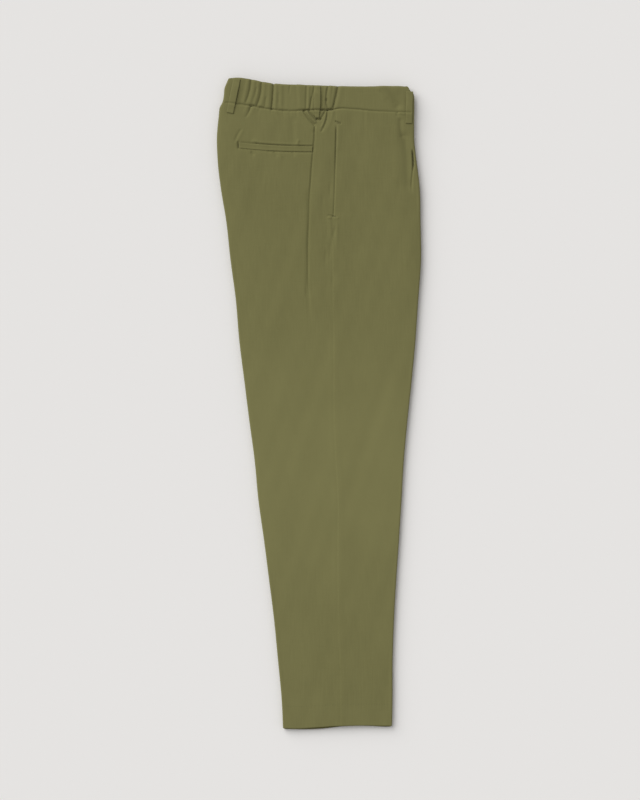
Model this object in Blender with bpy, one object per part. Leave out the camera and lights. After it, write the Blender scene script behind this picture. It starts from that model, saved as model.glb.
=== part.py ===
"""Linen chinos, laid flat on a surface and folded along their leg creases.

Metres, +Z up. +Y runs up the garment to the waist and +X across it to the front creases.
The right leg lies on top, as two cloth walls that each roll under at a crease. The layers
hidden inside and below them, with the left leg, are one rounded solid that rests flat.
"""
import math
from typing import NamedTuple

import bpy
import numpy as np
from mathutils import Vector
from mathutils.geometry import tessellate_polygon

# ---- Cloth ----------------------------------------------------------------------------------
PANEL_WALL = 0.0012         # leg panels
HEM_WALL = 0.0015           # leg panels inside the hem allowance
BAND_WALL = 0.0022          # waistband, two layers of cloth and its stiffening
LOOP_WALL = 0.0015          # belt loops
WELT_WALL = 0.0011          # back pocket welt
SEAM_GAP = 0.0003           # between pieces that are sewn together
POCKET_MOUTH_GAP = 0.0009   # between the front and the back along the side pocket

# ---- Heights up the garment, from the lowest point of the under leg's hem --------------------
HEM = 0.0024
HEM_ALLOWANCE = 0.038
HEM_STEP = 0.006            # over which the wall thins above the hem allowance
HEM_BEND_END = 0.120
WAIST_BEND_START = 0.880
WAIST_SEAM = 0.994
BAND_TOP = 1.031
BAND_SPLIT = (0.0228, 0.0288)   # x of the elastic's end, at the seam and at the top edge
POCKET_MOUTH = (0.822, 0.972)
POCKET_MOUTH_RUN = 0.010    # over which the pocket's mouth opens at each end

# ---- Folded edges ---------------------------------------------------------------------------
LIP = 0.014                 # how far each wall runs back under the top leg
EDGE_FALL = 0.022           # width over which the stack falls away to a folded edge
CROWN = 0.0006              # how much the middle of the stack stands above its sides
UNDER_LEG_INSET = 0.0015    # how far the under leg's edges lie inside the top leg's
TOP_BLEND = 0.005           # from a folded edge to where the folds have their full height
HIDDEN_ROLL = 0.0005        # radius of the hidden layers inside a folded edge
LEG_ROOM = 0.0008           # from the leg walls down to the hidden layers
BAND_ROOM = 0.0024          # from the waistband's wall down to the hidden layers
LIP_ROOM = 0.0016           # from a lip's end to the hidden layers beside it

INNER_CLOTH_COLOUR = (0.105, 0.098, 0.036)
CLOTH_COLOUR = (0.165, 0.156, 0.064)
CLOTH_ROUGHNESS = 0.9


class Section(NamedTuple):
    """A section of the folded stack: x from the middle line, z from the surface it lies on."""

    height: float   # up the garment
    left: float     # back crease
    seam: float     # outseam
    right: float    # front crease
    under: float    # top of the under leg
    roll: float     # outer radius of the top leg's folded edges
    top: float      # top of the stack away from its edges


SECTIONS = (
    #        height    left     seam    right    under     roll     top
    Section(0.0024, -0.0560, 0.0352, 0.1160, 0.00420, 0.00225, 0.0090),
    Section(0.0470, -0.0592, 0.0352, 0.1168, 0.00420, 0.00225, 0.0092),
    Section(0.1112, -0.0656, 0.0336, 0.1168, 0.00420, 0.00225, 0.0093),
    Section(0.1752, -0.0720, 0.0312, 0.1200, 0.00425, 0.00226, 0.0095),
    Section(0.2392, -0.0784, 0.0304, 0.1232, 0.00430, 0.00228, 0.0098),
    Section(0.3032, -0.0864, 0.0304, 0.1280, 0.00435, 0.00230, 0.0101),
    Section(0.3672, -0.0960, 0.0308, 0.1312, 0.00440, 0.00235, 0.0105),
    Section(0.4312, -0.1024, 0.0272, 0.1344, 0.00450, 0.00240, 0.0109),
    Section(0.4952, -0.1116, 0.0242, 0.1408, 0.00460, 0.00245, 0.0114),
    Section(0.5592, -0.1188, 0.0240, 0.1484, 0.00470, 0.00250, 0.0120),
    Section(0.6232, -0.1264, 0.0238, 0.1540, 0.00480, 0.00256, 0.0126),
    Section(0.6872, -0.1332, 0.0226, 0.1588, 0.00490, 0.00262, 0.0132),
    Section(0.7512, -0.1408, 0.0224, 0.1628, 0.00500, 0.00270, 0.0138),
    Section(0.8152, -0.1488, 0.0230, 0.1624, 0.00520, 0.00280, 0.0144),
    Section(0.8632, -0.1564, 0.0243, 0.1614, 0.00540, 0.00290, 0.0149),
    Section(0.9112, -0.1612, 0.0254, 0.1556, 0.00560, 0.00300, 0.0153),
    Section(0.9432, -0.1632, 0.0260, 0.1524, 0.00580, 0.00310, 0.0156),
    Section(0.9752, -0.1600, 0.0266, 0.1520, 0.00595, 0.00322, 0.0159),
    Section(0.9940, -0.1536, 0.0268, 0.1520, 0.00600, 0.00330, 0.0160),
    Section(1.0310, -0.1440, 0.0288, 0.1520, 0.00600, 0.00330, 0.0160),
)


class Place(NamedTuple):
    """A point of a line across the garment."""

    x: float
    y: float


WAIST_SEAM_LINE = (
    Place(-0.1540, 1.0075), Place(-0.1344, 1.0040), Place(-0.1104, 1.0000),
    Place(-0.0784, 0.9944), Place(-0.0432, 0.9912), Place(-0.0208, 0.9928),
    Place(0.0304, 0.9936), Place(0.0736, 0.9912), Place(0.1040, 0.9896),
    Place(0.1424, 0.9864), Place(0.1520, 0.9856),
)
BAND_TOP_LINE = (
    Place(-0.1440, 1.0424), Place(-0.1328, 1.0438), Place(-0.1104, 1.0408),
    Place(-0.0912, 1.0362), Place(-0.0672, 1.0328), Place(-0.0304, 1.0312),
    Place(0.0144, 1.0298), Place(0.0736, 1.0280), Place(0.1136, 1.0294),
    Place(0.1360, 1.0290), Place(0.1440, 1.0272), Place(0.1490, 1.0225),
    Place(0.1520, 1.0120),
)
HEM_LINE = (
    Place(-0.0560, 0.0028), Place(-0.0368, 0.0018), Place(-0.0080, 0.0028),
    Place(0.0208, 0.0042), Place(0.0688, 0.0054), Place(0.1072, 0.0042),
    Place(0.1160, 0.0036),
)
UNDER_HEM_LINE = (
    Place(-0.0560, 0.0006), Place(-0.0300, 0.0000), Place(0.0000, 0.0008),
    Place(0.0400, 0.0040), Place(0.0800, 0.0034), Place(0.1050, 0.0014),
    Place(0.1160, 0.0016),
)


class Fold(NamedTuple):
    """A soft ridge (height above 0) or trough (below 0) in the cloth, along a straight line."""

    x_high: float
    y_high: float
    x_low: float
    y_low: float
    rise: float
    reach: float


BAND_GATHERS = (
    Fold(-0.1104, 1.0376, -0.1176, 1.0088, -0.0010, 0.0030),
    Fold(-0.0928, 1.0328, -0.0992, 1.0008, -0.0009, 0.0030),
    Fold(-0.0736, 1.0328, -0.0768, 0.9912, -0.0012, 0.0030),
    Fold(-0.0630, 1.0290, -0.0640, 1.0000, -0.0005, 0.0028),
    Fold(-0.0480, 1.0280, -0.0480, 0.9980, -0.0005, 0.0028),
    Fold(-0.0350, 1.0260, -0.0344, 1.0020, -0.0004, 0.0026),
    Fold(-0.0208, 1.0290, -0.0208, 0.9960, -0.0010, 0.0026),
    Fold(0.0128, 1.0290, 0.0080, 1.0010, -0.0008, 0.0028),
)
BAND_FRONT_FOLDS = (
    Fold(0.0960, 1.0248, 0.1264, 0.9992, -0.0008, 0.0070),
    Fold(0.0560, 1.0220, 0.0600, 1.0020, -0.0003, 0.0120),
)
BACK_FOLDS = (
    Fold(-0.1104, 0.9960, -0.1176, 0.9810, -0.0006, 0.0045),
    Fold(-0.0940, 0.9930, -0.0990, 0.9810, -0.0004, 0.0045),
    Fold(-0.0768, 0.9912, -0.0775, 0.9760, -0.0006, 0.0045),
    Fold(-0.0576, 0.9890, -0.0600, 0.9780, -0.0004, 0.0045),
    Fold(-0.0400, 0.9890, -0.0380, 0.9770, -0.0004, 0.0045),
    Fold(-0.0256, 0.9920, -0.0070, 0.9690, -0.0007, 0.0042),
    Fold(0.0160, 0.9920, 0.0040, 0.9690, -0.0007, 0.0042),
    Fold(-0.0352, 0.9890, -0.0150, 0.9640, 0.0006, 0.0045),
    Fold(0.0225, 0.9890, 0.0110, 0.9640, 0.0006, 0.0045),
    Fold(-0.1120, 0.9240, -0.1040, 0.9160, -0.0004, 0.0060),
    Fold(-0.0500, 0.9210, -0.0480, 0.9060, -0.0003, 0.0070),
)
FRONT_FOLDS = (
    Fold(0.1392, 0.9750, 0.1392, 0.8470, -0.0006, 0.0085),
    Fold(0.0240, 0.8080, 0.0230, 0.7500, 0.0005, 0.0070),
    Fold(0.0560, 0.9800, 0.0500, 0.9300, -0.0003, 0.0140),
)

# The tuck over the pocket bag: the cloth to the right of its line stands higher.
TUCK_LINE = (
    Place(-0.0056, 0.6700), Place(-0.0192, 0.7000), Place(-0.0214, 0.7690),
    Place(-0.0176, 0.8300), Place(-0.0154, 0.8760), Place(-0.0104, 0.9340),
    Place(-0.0064, 0.9700),
)
TUCK_RISE = 0.0016
TUCK_STEP = 0.0030          # width over which the cloth rises at the tuck
TUCK_RUN = 0.0360           # how far the raised cloth runs before it has sunk back
TUCK_FADE = 0.0240
TUCK_END = (0.6760, 0.9760)

# The pleat at the front crease: a slit with the under cloth coming out from below it.
PLEAT_X = 0.1506
PLEAT_END = (0.8720, 0.9360)
PLEAT_RUN = 0.012           # over which the slit opens, to both sides of each end
PLEAT_FROM_CREASE = 0.0020  # the least distance from the slit's column to the crease
PLEAT_DEPTH = 0.0009
PLEAT_REACH = 0.0016

# The outseam's pressed allowances.
SEAM_RIDGE = 0.00035
SEAM_RIDGE_REACH = 0.0095
SEAM_RIDGE_END = 0.020      # over which the ridge sinks below the side pocket

# Where a folded or seamed edge of cloth dips, seen in section along the leg.
EDGE_DIP = 0.0005
EDGE_DIP_REACH = 0.0040
BAND_TOP_DIP = 1.6          # how many times deeper the waistband's folded top edge dips


class Strip(NamedTuple):
    """A narrow piece sewn onto the cloth, by the ends of its centre line."""

    name: str
    x_high: float
    y_high: float
    x_low: float
    y_low: float
    width: float
    wall: float
    arch: float     # how far its middle stands off the cloth


STRIPS = (
    Strip("belt_loop_back", -0.1310, 1.0418, -0.1425, 0.9862, 0.0112, LOOP_WALL, 0.0012),
    Strip("belt_loop_side", -0.0035, 1.0294, -0.0035, 0.9788, 0.0108, LOOP_WALL, 0.0013),
    Strip("belt_loop_front", 0.1452, 1.0222, 0.1440, 0.9708, 0.0110, LOOP_WALL, 0.0012),
)
STRIP_ROWS = 10
STRIP_SIDES = (-1.0, -0.86, 0.0, 0.86, 1.0)
STRIP_EDGE_WALL = 0.55      # share of the wall left at a strip's rounded edges
STRIP_ROUNDING = 0.02       # share of a strip's length that its rounded ends take
STRIP_END = 0.004           # length of each sewn-down end
LOOP_LIFT = 0.0004          # from the cloth to the sewn ends of a strip
ARCH_POWER = 0.7            # below 1, so that a strip rises steeply by its sewn ends

WELT_OUTER = Place(-0.1276, 0.9374)
WELT_INNER = Place(-0.0114, 0.9302)
WELT_WIDTH = 0.0086
WELT_COLUMNS = 14
WELT_SIDES = (-1.0, -0.8, 0.8, 1.0)
WELT_EDGE_WALL = 0.6        # share of the wall left at the welt's rounded edges
WELT_BRIDGE = 0.002         # how far the welt looks around for the cloth that carries it

# ---- Rows and columns -----------------------------------------------------------------------
# Rows run across the garment: plain cloth needs few, the gathered top many.
PLAIN_ROWS = (0.0, 0.004, 0.036, 0.044, 0.090, 0.150, 0.220, 0.290, 0.360, 0.430, 0.500, 0.560,
              0.615)
FOLDED_ROWS_FROM = 0.660
FOLDED_ROWS_STEP = 0.0165
CLOSE_ROWS_FROM = 0.944
CLOSE_ROWS_STEP = 0.0083
BAND_ROWS = (0.0, 0.08, 0.34, 0.66, 0.92, 1.0)

# Columns run up the garment, counted from one named line to the next.
TUCK_COLUMNS = 9            # outseam to tuck
BACK_COLUMNS = 17           # tuck to the fall by the back crease
BACK_FALL_COLUMNS = 4
BACK_FALL_SHARE = 0.5       # share of EDGE_FALL that the closer columns cover
FRONT_COLUMNS = 13          # outseam to the pleat's first column
FRONT_CREASE_COLUMNS = 3
FRONT_PLAIN_COLUMN = 0.0070     # from the front crease, where there is no pleat
PLEAT_COLUMNS = (0.0200, 0.0120, 0.0060, 0.0022, 0.0)     # to the left of the slit
PLEAT_COLUMNS_FROM = (0.8560, 0.8760)   # heights over which the columns move to the slit
BAND_BACK_COLUMNS = 58
BAND_FRONT_COLUMNS = 16
ROLL_STEPS = 5

# The folded layers' own rows, columns and roundings.
HIDDEN_TOP_COLUMNS = 15
HIDDEN_NEAR_ROWS = 14
HIDDEN_LEG_END = 0.012      # below the waist seam, where the layers start to thin for the band
HIDDEN_BAND_START = 0.004   # below the waist seam, where they are thin enough for it
HIDDEN_BAND_ROWS = (-0.003, 0.010)  # from the waist seam
HIDDEN_ROLL_STEPS = 2
UNDER_ROLL_STEPS = 4


class Cutter(NamedTuple):
    """A flat slit into the folded layers from one end of the garment."""

    name: str
    low: float
    high: float
    depth: float
    inset: float    # from the section's edges, below 0 where the slit runs right across


HEM_SLITS = (
    Cutter("slit_under_leg", 0.0017, 0.0025, 0.038, 0.0050),
    Cutter("slit_between_legs", 0.00425, 0.00465, 0.034, -0.0100),
    Cutter("slit_top_leg", 0.0059, 0.0120, 0.030, -0.0100),
    Cutter("slit_top_leg_edge", 0.0044, 0.0120, 0.0074, -0.0100),
)
WAIST_SLITS = (
    Cutter("slit_far_band", 0.0026, 0.0034, 0.034, 0.0060),
    Cutter("slit_between_bands", 0.0061, 0.0075, 0.033, -0.0100),
    Cutter("slit_folded_in", 0.0102, 0.0107, 0.032, 0.0200),
)
SLIT_BEYOND = 0.020         # how far a slit's cutter stands out of the end it cuts
HIDDEN_END_SETBACK = 0.0022


# ---- Curves ---------------------------------------------------------------------------------
def smoothstep(low, high, value):
    """0 below low, 1 above high, and a smooth step between them."""
    share = np.clip((value - low) / (high - low), 0.0, 1.0)
    return share * share * (3.0 - 2.0 * share)


def curve(knots, values, at):
    """Read a smooth curve through (knots, values); it goes on level past both ends."""
    knots = np.asarray(knots)
    values = np.asarray(values)
    slopes = np.gradient(values, knots)
    at = float(np.clip(at, knots[0], knots[-1]))
    i = int(np.clip(np.searchsorted(knots, at) - 1, 0, len(knots) - 2))
    span = knots[i + 1] - knots[i]
    t = (at - knots[i]) / span
    rise = values[i + 1] - values[i]
    start = slopes[i] * span
    end = slopes[i + 1] * span
    return values[i] + t * start + t * t * (3 * rise - 2 * start - end) + t ** 3 * (start + end - 2 * rise)


def line_y(line, x):
    """y of a line across the garment, at x."""
    return curve([place.x for place in line], [place.y for place in line], x)


def line_x(line, y):
    """x of a line up the garment, at y."""
    return curve([place.y for place in line], [place.x for place in line], y)


def section_at(height):
    """The stack's section at a height, on smooth curves through SECTIONS."""
    heights = [section.height for section in SECTIONS]
    columns = zip(*SECTIONS)
    return Section(*(curve(heights, column, height) for column in columns))


def row_y(height, x, hem_line=HEM_LINE):
    """y of a point in a row: straight across the leg, bent to the hem and to the waist seam."""
    to_waist = smoothstep(WAIST_BEND_START, WAIST_SEAM, height)
    to_hem = 1.0 - smoothstep(HEM, HEM_BEND_END, height)
    return (height + to_waist * (line_y(WAIST_SEAM_LINE, x) - WAIST_SEAM)
            + to_hem * (line_y(hem_line, x) - HEM))


def band_y(share, x):
    """y of a point of the waistband, from its seam (share 0) to its top edge (share 1)."""
    low = line_y(WAIST_SEAM_LINE, x) + SEAM_GAP / 2
    high = line_y(BAND_TOP_LINE, x)
    return low + share * (high - low)


# ---- The outer face of the top leg ----------------------------------------------------------
class Edge(NamedTuple):
    """Where the top face leaves a folded edge's roll."""

    centre_z: float
    angle: float    # from the top of the roll, towards the edge
    inward: float   # from the edge, towards the middle
    z: float


def folded_edge(section):
    """Work out the roll of a section's folded edges, the same at the left and the right."""
    centre_z = section.under + SEAM_GAP + section.roll
    angle = math.atan(2 * max(section.top - centre_z - section.roll, 0.0) / EDGE_FALL)
    inward = section.roll * (1 - math.sin(angle))
    return Edge(centre_z, angle, inward, centre_z + section.roll * math.cos(angle))


def face_height(section, x):
    """z of the smooth outer face at x, away from all folds."""
    edge = folded_edge(section)
    half = (section.right - section.left) / 2
    inside = half - abs(x - (section.right + section.left) / 2)
    if inside < edge.inward:
        across = min(max(section.roll - inside, 0.0), section.roll)
        return edge.centre_z + math.sqrt(section.roll ** 2 - across ** 2)
    share = min((inside - edge.inward) / EDGE_FALL, 1.0)
    crown = CROWN * smoothstep(0.0, half, inside)
    return edge.z + (section.top - edge.z) * (1 - (1 - share) ** 2) + crown


def fold_height(folds, x, y):
    """Height that a list of folds adds at a point."""
    total = 0.0
    for fold in folds:
        run_x = fold.x_low - fold.x_high
        run_y = fold.y_low - fold.y_high
        share = ((x - fold.x_high) * run_x + (y - fold.y_high) * run_y) / (run_x ** 2 + run_y ** 2)
        share = min(max(share, 0.0), 1.0)
        away = math.hypot(x - fold.x_high - share * run_x, y - fold.y_high - share * run_y)
        total += fold.rise * math.exp(-(away / fold.reach) ** 2)
    return total


def tuck_height(x, y):
    """Height of the cloth that stands up to the right of the tuck's line."""
    right_of_tuck = x - line_x(TUCK_LINE, y)
    step = smoothstep(0.0, TUCK_STEP, right_of_tuck)
    sink = 1.0 - smoothstep(TUCK_RUN - TUCK_FADE, TUCK_RUN, right_of_tuck)
    ends = smoothstep(TUCK_END[0], TUCK_END[0] + TUCK_FADE, y)
    ends = ends * (1.0 - smoothstep(TUCK_END[1] - TUCK_FADE, TUCK_END[1], y))
    return TUCK_RISE * step * sink * ends


def pleat_height(x, y):
    """Depth of the pleat's slit by the front crease."""
    ends = smoothstep(PLEAT_END[0] - PLEAT_RUN, PLEAT_END[0] + PLEAT_RUN, y)
    ends = ends * (1.0 - smoothstep(PLEAT_END[1] - PLEAT_RUN, PLEAT_END[1] + PLEAT_RUN, y))
    return -PLEAT_DEPTH * ends * math.exp(-((x - PLEAT_X) / PLEAT_REACH) ** 2)


def seam_height(section, x, y):
    """Height of the outseam's pressed allowances, below the side pocket."""
    below_pocket = 1.0 - smoothstep(POCKET_MOUTH[0] - SEAM_RIDGE_END, POCKET_MOUTH[0], y)
    return SEAM_RIDGE * below_pocket * math.exp(-((x - section.seam) / SEAM_RIDGE_REACH) ** 4)


def edge_dip(distance):
    """How far cloth dips at a distance from its seamed or folded edge."""
    return -EDGE_DIP * math.exp(-(distance / EDGE_DIP_REACH) ** 2)


def panel_height(height, section, x, y):
    """z of a leg panel's outer face."""
    edge = folded_edge(section)
    inside = min(x - section.left, section.right - x)
    on_top = smoothstep(edge.inward, edge.inward + TOP_BLEND, inside)
    relief = (fold_height(BACK_FOLDS, x, y) + fold_height(FRONT_FOLDS, x, y)
              + tuck_height(x, y) + seam_height(section, x, y))
    relief += edge_dip(WAIST_SEAM - height) + edge_dip(height - HEM)
    return face_height(section, x) + on_top * relief + pleat_height(x, y)


def band_height(share, section, x, y):
    """z of the waistband's outer face; it dips at its seam and at its folded top edge."""
    edge = folded_edge(section)
    inside = min(x - section.left, section.right - x)
    on_top = smoothstep(edge.inward, edge.inward + TOP_BLEND, inside)
    tall = BAND_TOP - WAIST_SEAM
    relief = (fold_height(BAND_GATHERS, x, y) + fold_height(BAND_FRONT_FOLDS, x, y)
              + edge_dip(share * tall) + BAND_TOP_DIP * edge_dip((1 - share) * tall))
    return face_height(section, x) + on_top * relief


# ---- Meshes ---------------------------------------------------------------------------------
def cloth_material(name, colour=CLOTH_COLOUR):
    """A plain rough cloth of one colour."""
    material = bpy.data.materials.new(name)
    material.use_nodes = True
    shader = material.node_tree.nodes["Principled BSDF"]
    shader.inputs["Base Color"].default_value = (*colour, 1.0)
    shader.inputs["Roughness"].default_value = CLOTH_ROUGHNESS
    shader.inputs["Metallic"].default_value = 0.0
    return material


def add_object(name, points, faces, material):
    """Make an object of points and faces, smooth but for its sharp borders."""
    mesh = bpy.data.meshes.new(name)
    mesh.from_pydata([tuple(point) for point in points], [], faces)
    mesh.materials.append(material)
    mesh.shade_smooth()
    mesh.set_sharp_from_angle(angle=math.radians(50))
    item = bpy.data.objects.new(name, mesh)
    bpy.context.scene.collection.objects.link(item)
    return item


def along(points, axis):
    """Direction of a grid of points along one of its two axes."""
    return np.gradient(points, axis=axis, edge_order=1)


def outward(points, level_columns):
    """Unit normals of a grid whose first axis runs up the garment and second across it.

    The first and last rows stay upright in y, and the numbered columns upright in x, so that
    the gap between two pieces is the same all through their thickness.
    """
    normals = np.cross(along(points, 1), along(points, 0))
    normals[0, :, 1] = 0.0
    normals[-1, :, 1] = 0.0
    for column in level_columns:
        normals[:, column, 0] = 0.0
    return normals / np.linalg.norm(normals, axis=2, keepdims=True)


def cloth_wall(name, outer, walls, level_columns):
    """Close a grid of outer points into a wall, each row of its own thickness."""
    inner = outer - outward(outer, level_columns) * np.asarray(walls)[:, None, None]
    return close_grid(name, outer, inner)


def close_grid(name, outer, inner):
    """Join two grids of the same shape, the outer one facing out, into one closed body."""
    rows, columns = outer.shape[:2]
    offset = rows * columns
    points = np.concatenate([outer.reshape(-1, 3), inner.reshape(-1, 3)])

    def index(i, j):
        return i * columns + j

    faces = []
    for i in range(rows - 1):
        for j in range(columns - 1):
            quad = (index(i, j), index(i, j + 1), index(i + 1, j + 1), index(i + 1, j))
            faces.append(quad)
            faces.append(tuple(corner + offset for corner in reversed(quad)))
    border = ([(0, j) for j in range(columns)]
              + [(i, columns - 1) for i in range(1, rows)]
              + [(rows - 1, j) for j in range(columns - 2, -1, -1)]
              + [(i, 0) for i in range(rows - 2, 0, -1)])
    corners = [index(i, j) for i, j in border]
    for a, b in zip(corners, corners[1:] + corners[:1]):
        faces.append((b, a, a + offset, b + offset))
    return add_object(name, points, faces, cloth_material(name))


# ---- Leg panels and waistband ---------------------------------------------------------------
def rolled_edge(section, side):
    """(x, z) points from where the face leaves a folded edge, round it and along the lip."""
    edge = folded_edge(section)
    crease = section.right if side > 0 else section.left
    centre_x = crease - side * section.roll
    points = []
    for step in range(ROLL_STEPS + 1):
        angle = edge.angle + (math.pi - edge.angle) * step / ROLL_STEPS
        points.append((centre_x + side * section.roll * math.sin(angle),
                       edge.centre_z + section.roll * math.cos(angle)))
    under_z = edge.centre_z - section.roll
    points.append((centre_x - side * LIP / 2, under_z))
    points.append((centre_x - side * LIP, under_z))
    return points


def spread(start, end, count):
    """count places from start towards end, both included."""
    return [start + (end - start) * step / (count - 1) for step in range(count)]


def back_columns(section, y):
    """x of the back panel's columns on its top face, from the outseam to the back crease."""
    seam = section.seam - seam_half_gap(y)
    crease = section.left + folded_edge(section).inward
    tuck = line_x(TUCK_LINE, y)
    fall_start = crease + EDGE_FALL * BACK_FALL_SHARE
    raised = spread(seam, tuck + TUCK_STEP, TUCK_COLUMNS)
    flat = spread(tuck, fall_start, BACK_COLUMNS)
    fall = spread(fall_start, crease, BACK_FALL_COLUMNS)
    return raised + [tuck + TUCK_STEP / 2] + flat + fall[1:]


def front_columns(section, y):
    """x of the front panel's columns on its top face, from the outseam to the front crease."""
    seam = section.seam + seam_half_gap(y)
    crease = section.right - folded_edge(section).inward
    plain = crease - FRONT_PLAIN_COLUMN
    in_pleat = smoothstep(*PLEAT_COLUMNS_FROM, y)
    pleat = plain + in_pleat * (min(PLEAT_X, crease - PLEAT_FROM_CREASE) - plain)
    flat = spread(seam, pleat - PLEAT_COLUMNS[0], FRONT_COLUMNS)
    by_pleat = [pleat - offset for offset in PLEAT_COLUMNS[1:]]
    past = spread(pleat, crease, FRONT_CREASE_COLUMNS)
    return flat + by_pleat + past[1:]


def seam_half_gap(y):
    """Half the gap between the front and the back: wider along the side pocket's mouth."""
    low, high = POCKET_MOUTH
    in_mouth = smoothstep(low, low + POCKET_MOUTH_RUN, y)
    in_mouth = in_mouth * (1.0 - smoothstep(high - POCKET_MOUTH_RUN, high, y))
    return (SEAM_GAP + in_mouth * (POCKET_MOUTH_GAP - SEAM_GAP)) / 2


def panel_wall(height):
    """Thickness of a leg panel: more inside the hem allowance."""
    in_hem = 1.0 - smoothstep(HEM_ALLOWANCE, HEM_ALLOWANCE + HEM_STEP, height)
    return PANEL_WALL + in_hem * (HEM_WALL - PANEL_WALL)


def panel_rows():
    """Heights of a leg panel's rows, from its hem to the waist seam."""
    folded = np.arange(FOLDED_ROWS_FROM, CLOSE_ROWS_FROM, FOLDED_ROWS_STEP)
    top = WAIST_SEAM - SEAM_GAP / 2
    close = spread(CLOSE_ROWS_FROM, top, 1 + round((top - CLOSE_ROWS_FROM) / CLOSE_ROWS_STEP))
    return [HEM + row for row in PLAIN_ROWS] + list(folded) + close


def leg_panel(name, side):
    """One leg panel: across the top from the outseam, round its crease and back as a lip."""
    rows = []
    walls = []
    for height in panel_rows():
        section = section_at(height)
        places = front_columns(section, height) if side > 0 else back_columns(section, height)
        row = []
        for x in places:
            y = row_y(height, x)
            row.append((x, y, panel_height(height, section, x, y)))
        row += [(x, row_y(height, x), z) for x, z in rolled_edge(section, side)[1:]]
        rows.append(row if side > 0 else row[::-1])
        walls.append(panel_wall(height))
    seam_column = 0 if side > 0 else -1
    return cloth_wall(name, np.array(rows), walls, [seam_column])


def band_part(name, side, top_columns):
    """One part of the waistband, from the end of its elastic round its folded edge."""
    rows = []
    for share in BAND_ROWS:
        section = section_at(WAIST_SEAM + share * (BAND_TOP - WAIST_SEAM))
        edge = folded_edge(section)
        split = BAND_SPLIT[0] + share * (BAND_SPLIT[1] - BAND_SPLIT[0]) + side * SEAM_GAP / 2
        crease = section.right - edge.inward if side > 0 else section.left + edge.inward
        row = []
        for x in spread(split, crease, top_columns):
            y = band_y(share, x)
            row.append((x, y, band_height(share, section, x, y)))
        row += [(x, band_y(share, x), z) for x, z in rolled_edge(section, side)[1:]]
        rows.append(row if side > 0 else row[::-1])
    seam_column = 0 if side > 0 else -1
    walls = [BAND_WALL] * len(BAND_ROWS)
    return cloth_wall(name, np.array(rows), walls, [seam_column])


# ---- Pieces sewn on top ---------------------------------------------------------------------
def cloth_height(x, y):
    """z of whatever cloth lies at a point of the top face: waistband or leg panel."""
    seam_y = line_y(WAIST_SEAM_LINE, x)
    if y < seam_y:
        height = y
        for _ in range(4):
            height += y - row_y(height, x)
        return panel_height(height, section_at(height), x, y)
    share = min((y - seam_y) / (line_y(BAND_TOP_LINE, x) - seam_y), 1.0)
    return band_height(share, section_at(WAIST_SEAM + share * (BAND_TOP - WAIST_SEAM)), x, y)


def highest_near(x, y, reach):
    """The highest cloth on a short cross around a point, for a stiff piece that bridges it."""
    around = ((0, 0), (0, reach), (0, -reach), (reach / 2, 0), (-reach / 2, 0))
    return max(cloth_height(x + dx, y + dy) for dx, dy in around)


def belt_loop(strip):
    """A belt loop: sewn down at both ends, standing slightly off the band between them."""
    run = np.array([strip.x_low - strip.x_high, strip.y_low - strip.y_high])
    length = np.linalg.norm(run)
    across = np.array([-run[1], run[0]]) / length
    ends = STRIP_END / length
    shares = [0.0, STRIP_ROUNDING] + spread(ends, 1 - ends, STRIP_ROWS)
    shares += [1 - STRIP_ROUNDING, 1.0]
    outer = []
    inner = []
    for share in reversed(shares):
        centre = np.array([strip.x_high, strip.y_high]) + share * run
        arch = strip.arch * math.sin(math.pi * share) ** ARCH_POWER
        outer_row = []
        inner_row = []
        for side in STRIP_SIDES:
            x, y = centre + across * side * strip.width / 2
            low = highest_near(x, y, STRIP_END / 2) + LOOP_LIFT + arch
            edge_share = STRIP_EDGE_WALL if abs(side) == 1.0 or share in (0.0, 1.0) else 1.0
            inner_row.append((x, y, low))
            outer_row.append((x, y, low + strip.wall * edge_share))
        outer.append(outer_row)
        inner.append(inner_row)
    return close_grid(strip.name, np.array(outer), np.array(inner))


def back_welt():
    """The back pocket's welt: a narrow folded strip whose inner end runs to the tuck."""
    start = np.array(WELT_OUTER)
    run = np.array(WELT_INNER) - start
    up = np.array([-run[1], run[0]]) / np.linalg.norm(run)
    outer = []
    inner = []
    for side in WELT_SIDES:
        outer_row = []
        inner_row = []
        for share in spread(0.0, 1.0, WELT_COLUMNS):
            x, y = start + share * run + up * side * WELT_WIDTH / 2
            low = highest_near(x, y, WELT_BRIDGE) + SEAM_GAP
            edge_share = WELT_EDGE_WALL if abs(side) == 1.0 or share in (0.0, 1.0) else 1.0
            inner_row.append((x, y, low))
            outer_row.append((x, y, low + WELT_WALL * edge_share))
        outer.append(outer_row)
        inner.append(inner_row)
    return close_grid("back_welt", np.array(outer), np.array(inner))


# ---- Folded layers --------------------------------------------------------------------------
def arc(centre_x, centre_z, radius, start, end, steps):
    """Points on an arc, angles from +x in turns of a circle."""
    points = []
    for step in range(steps + 1):
        angle = 2 * math.pi * (start + (end - start) * step / steps)
        points.append((centre_x + radius * math.cos(angle), centre_z + radius * math.sin(angle)))
    return points


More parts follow.
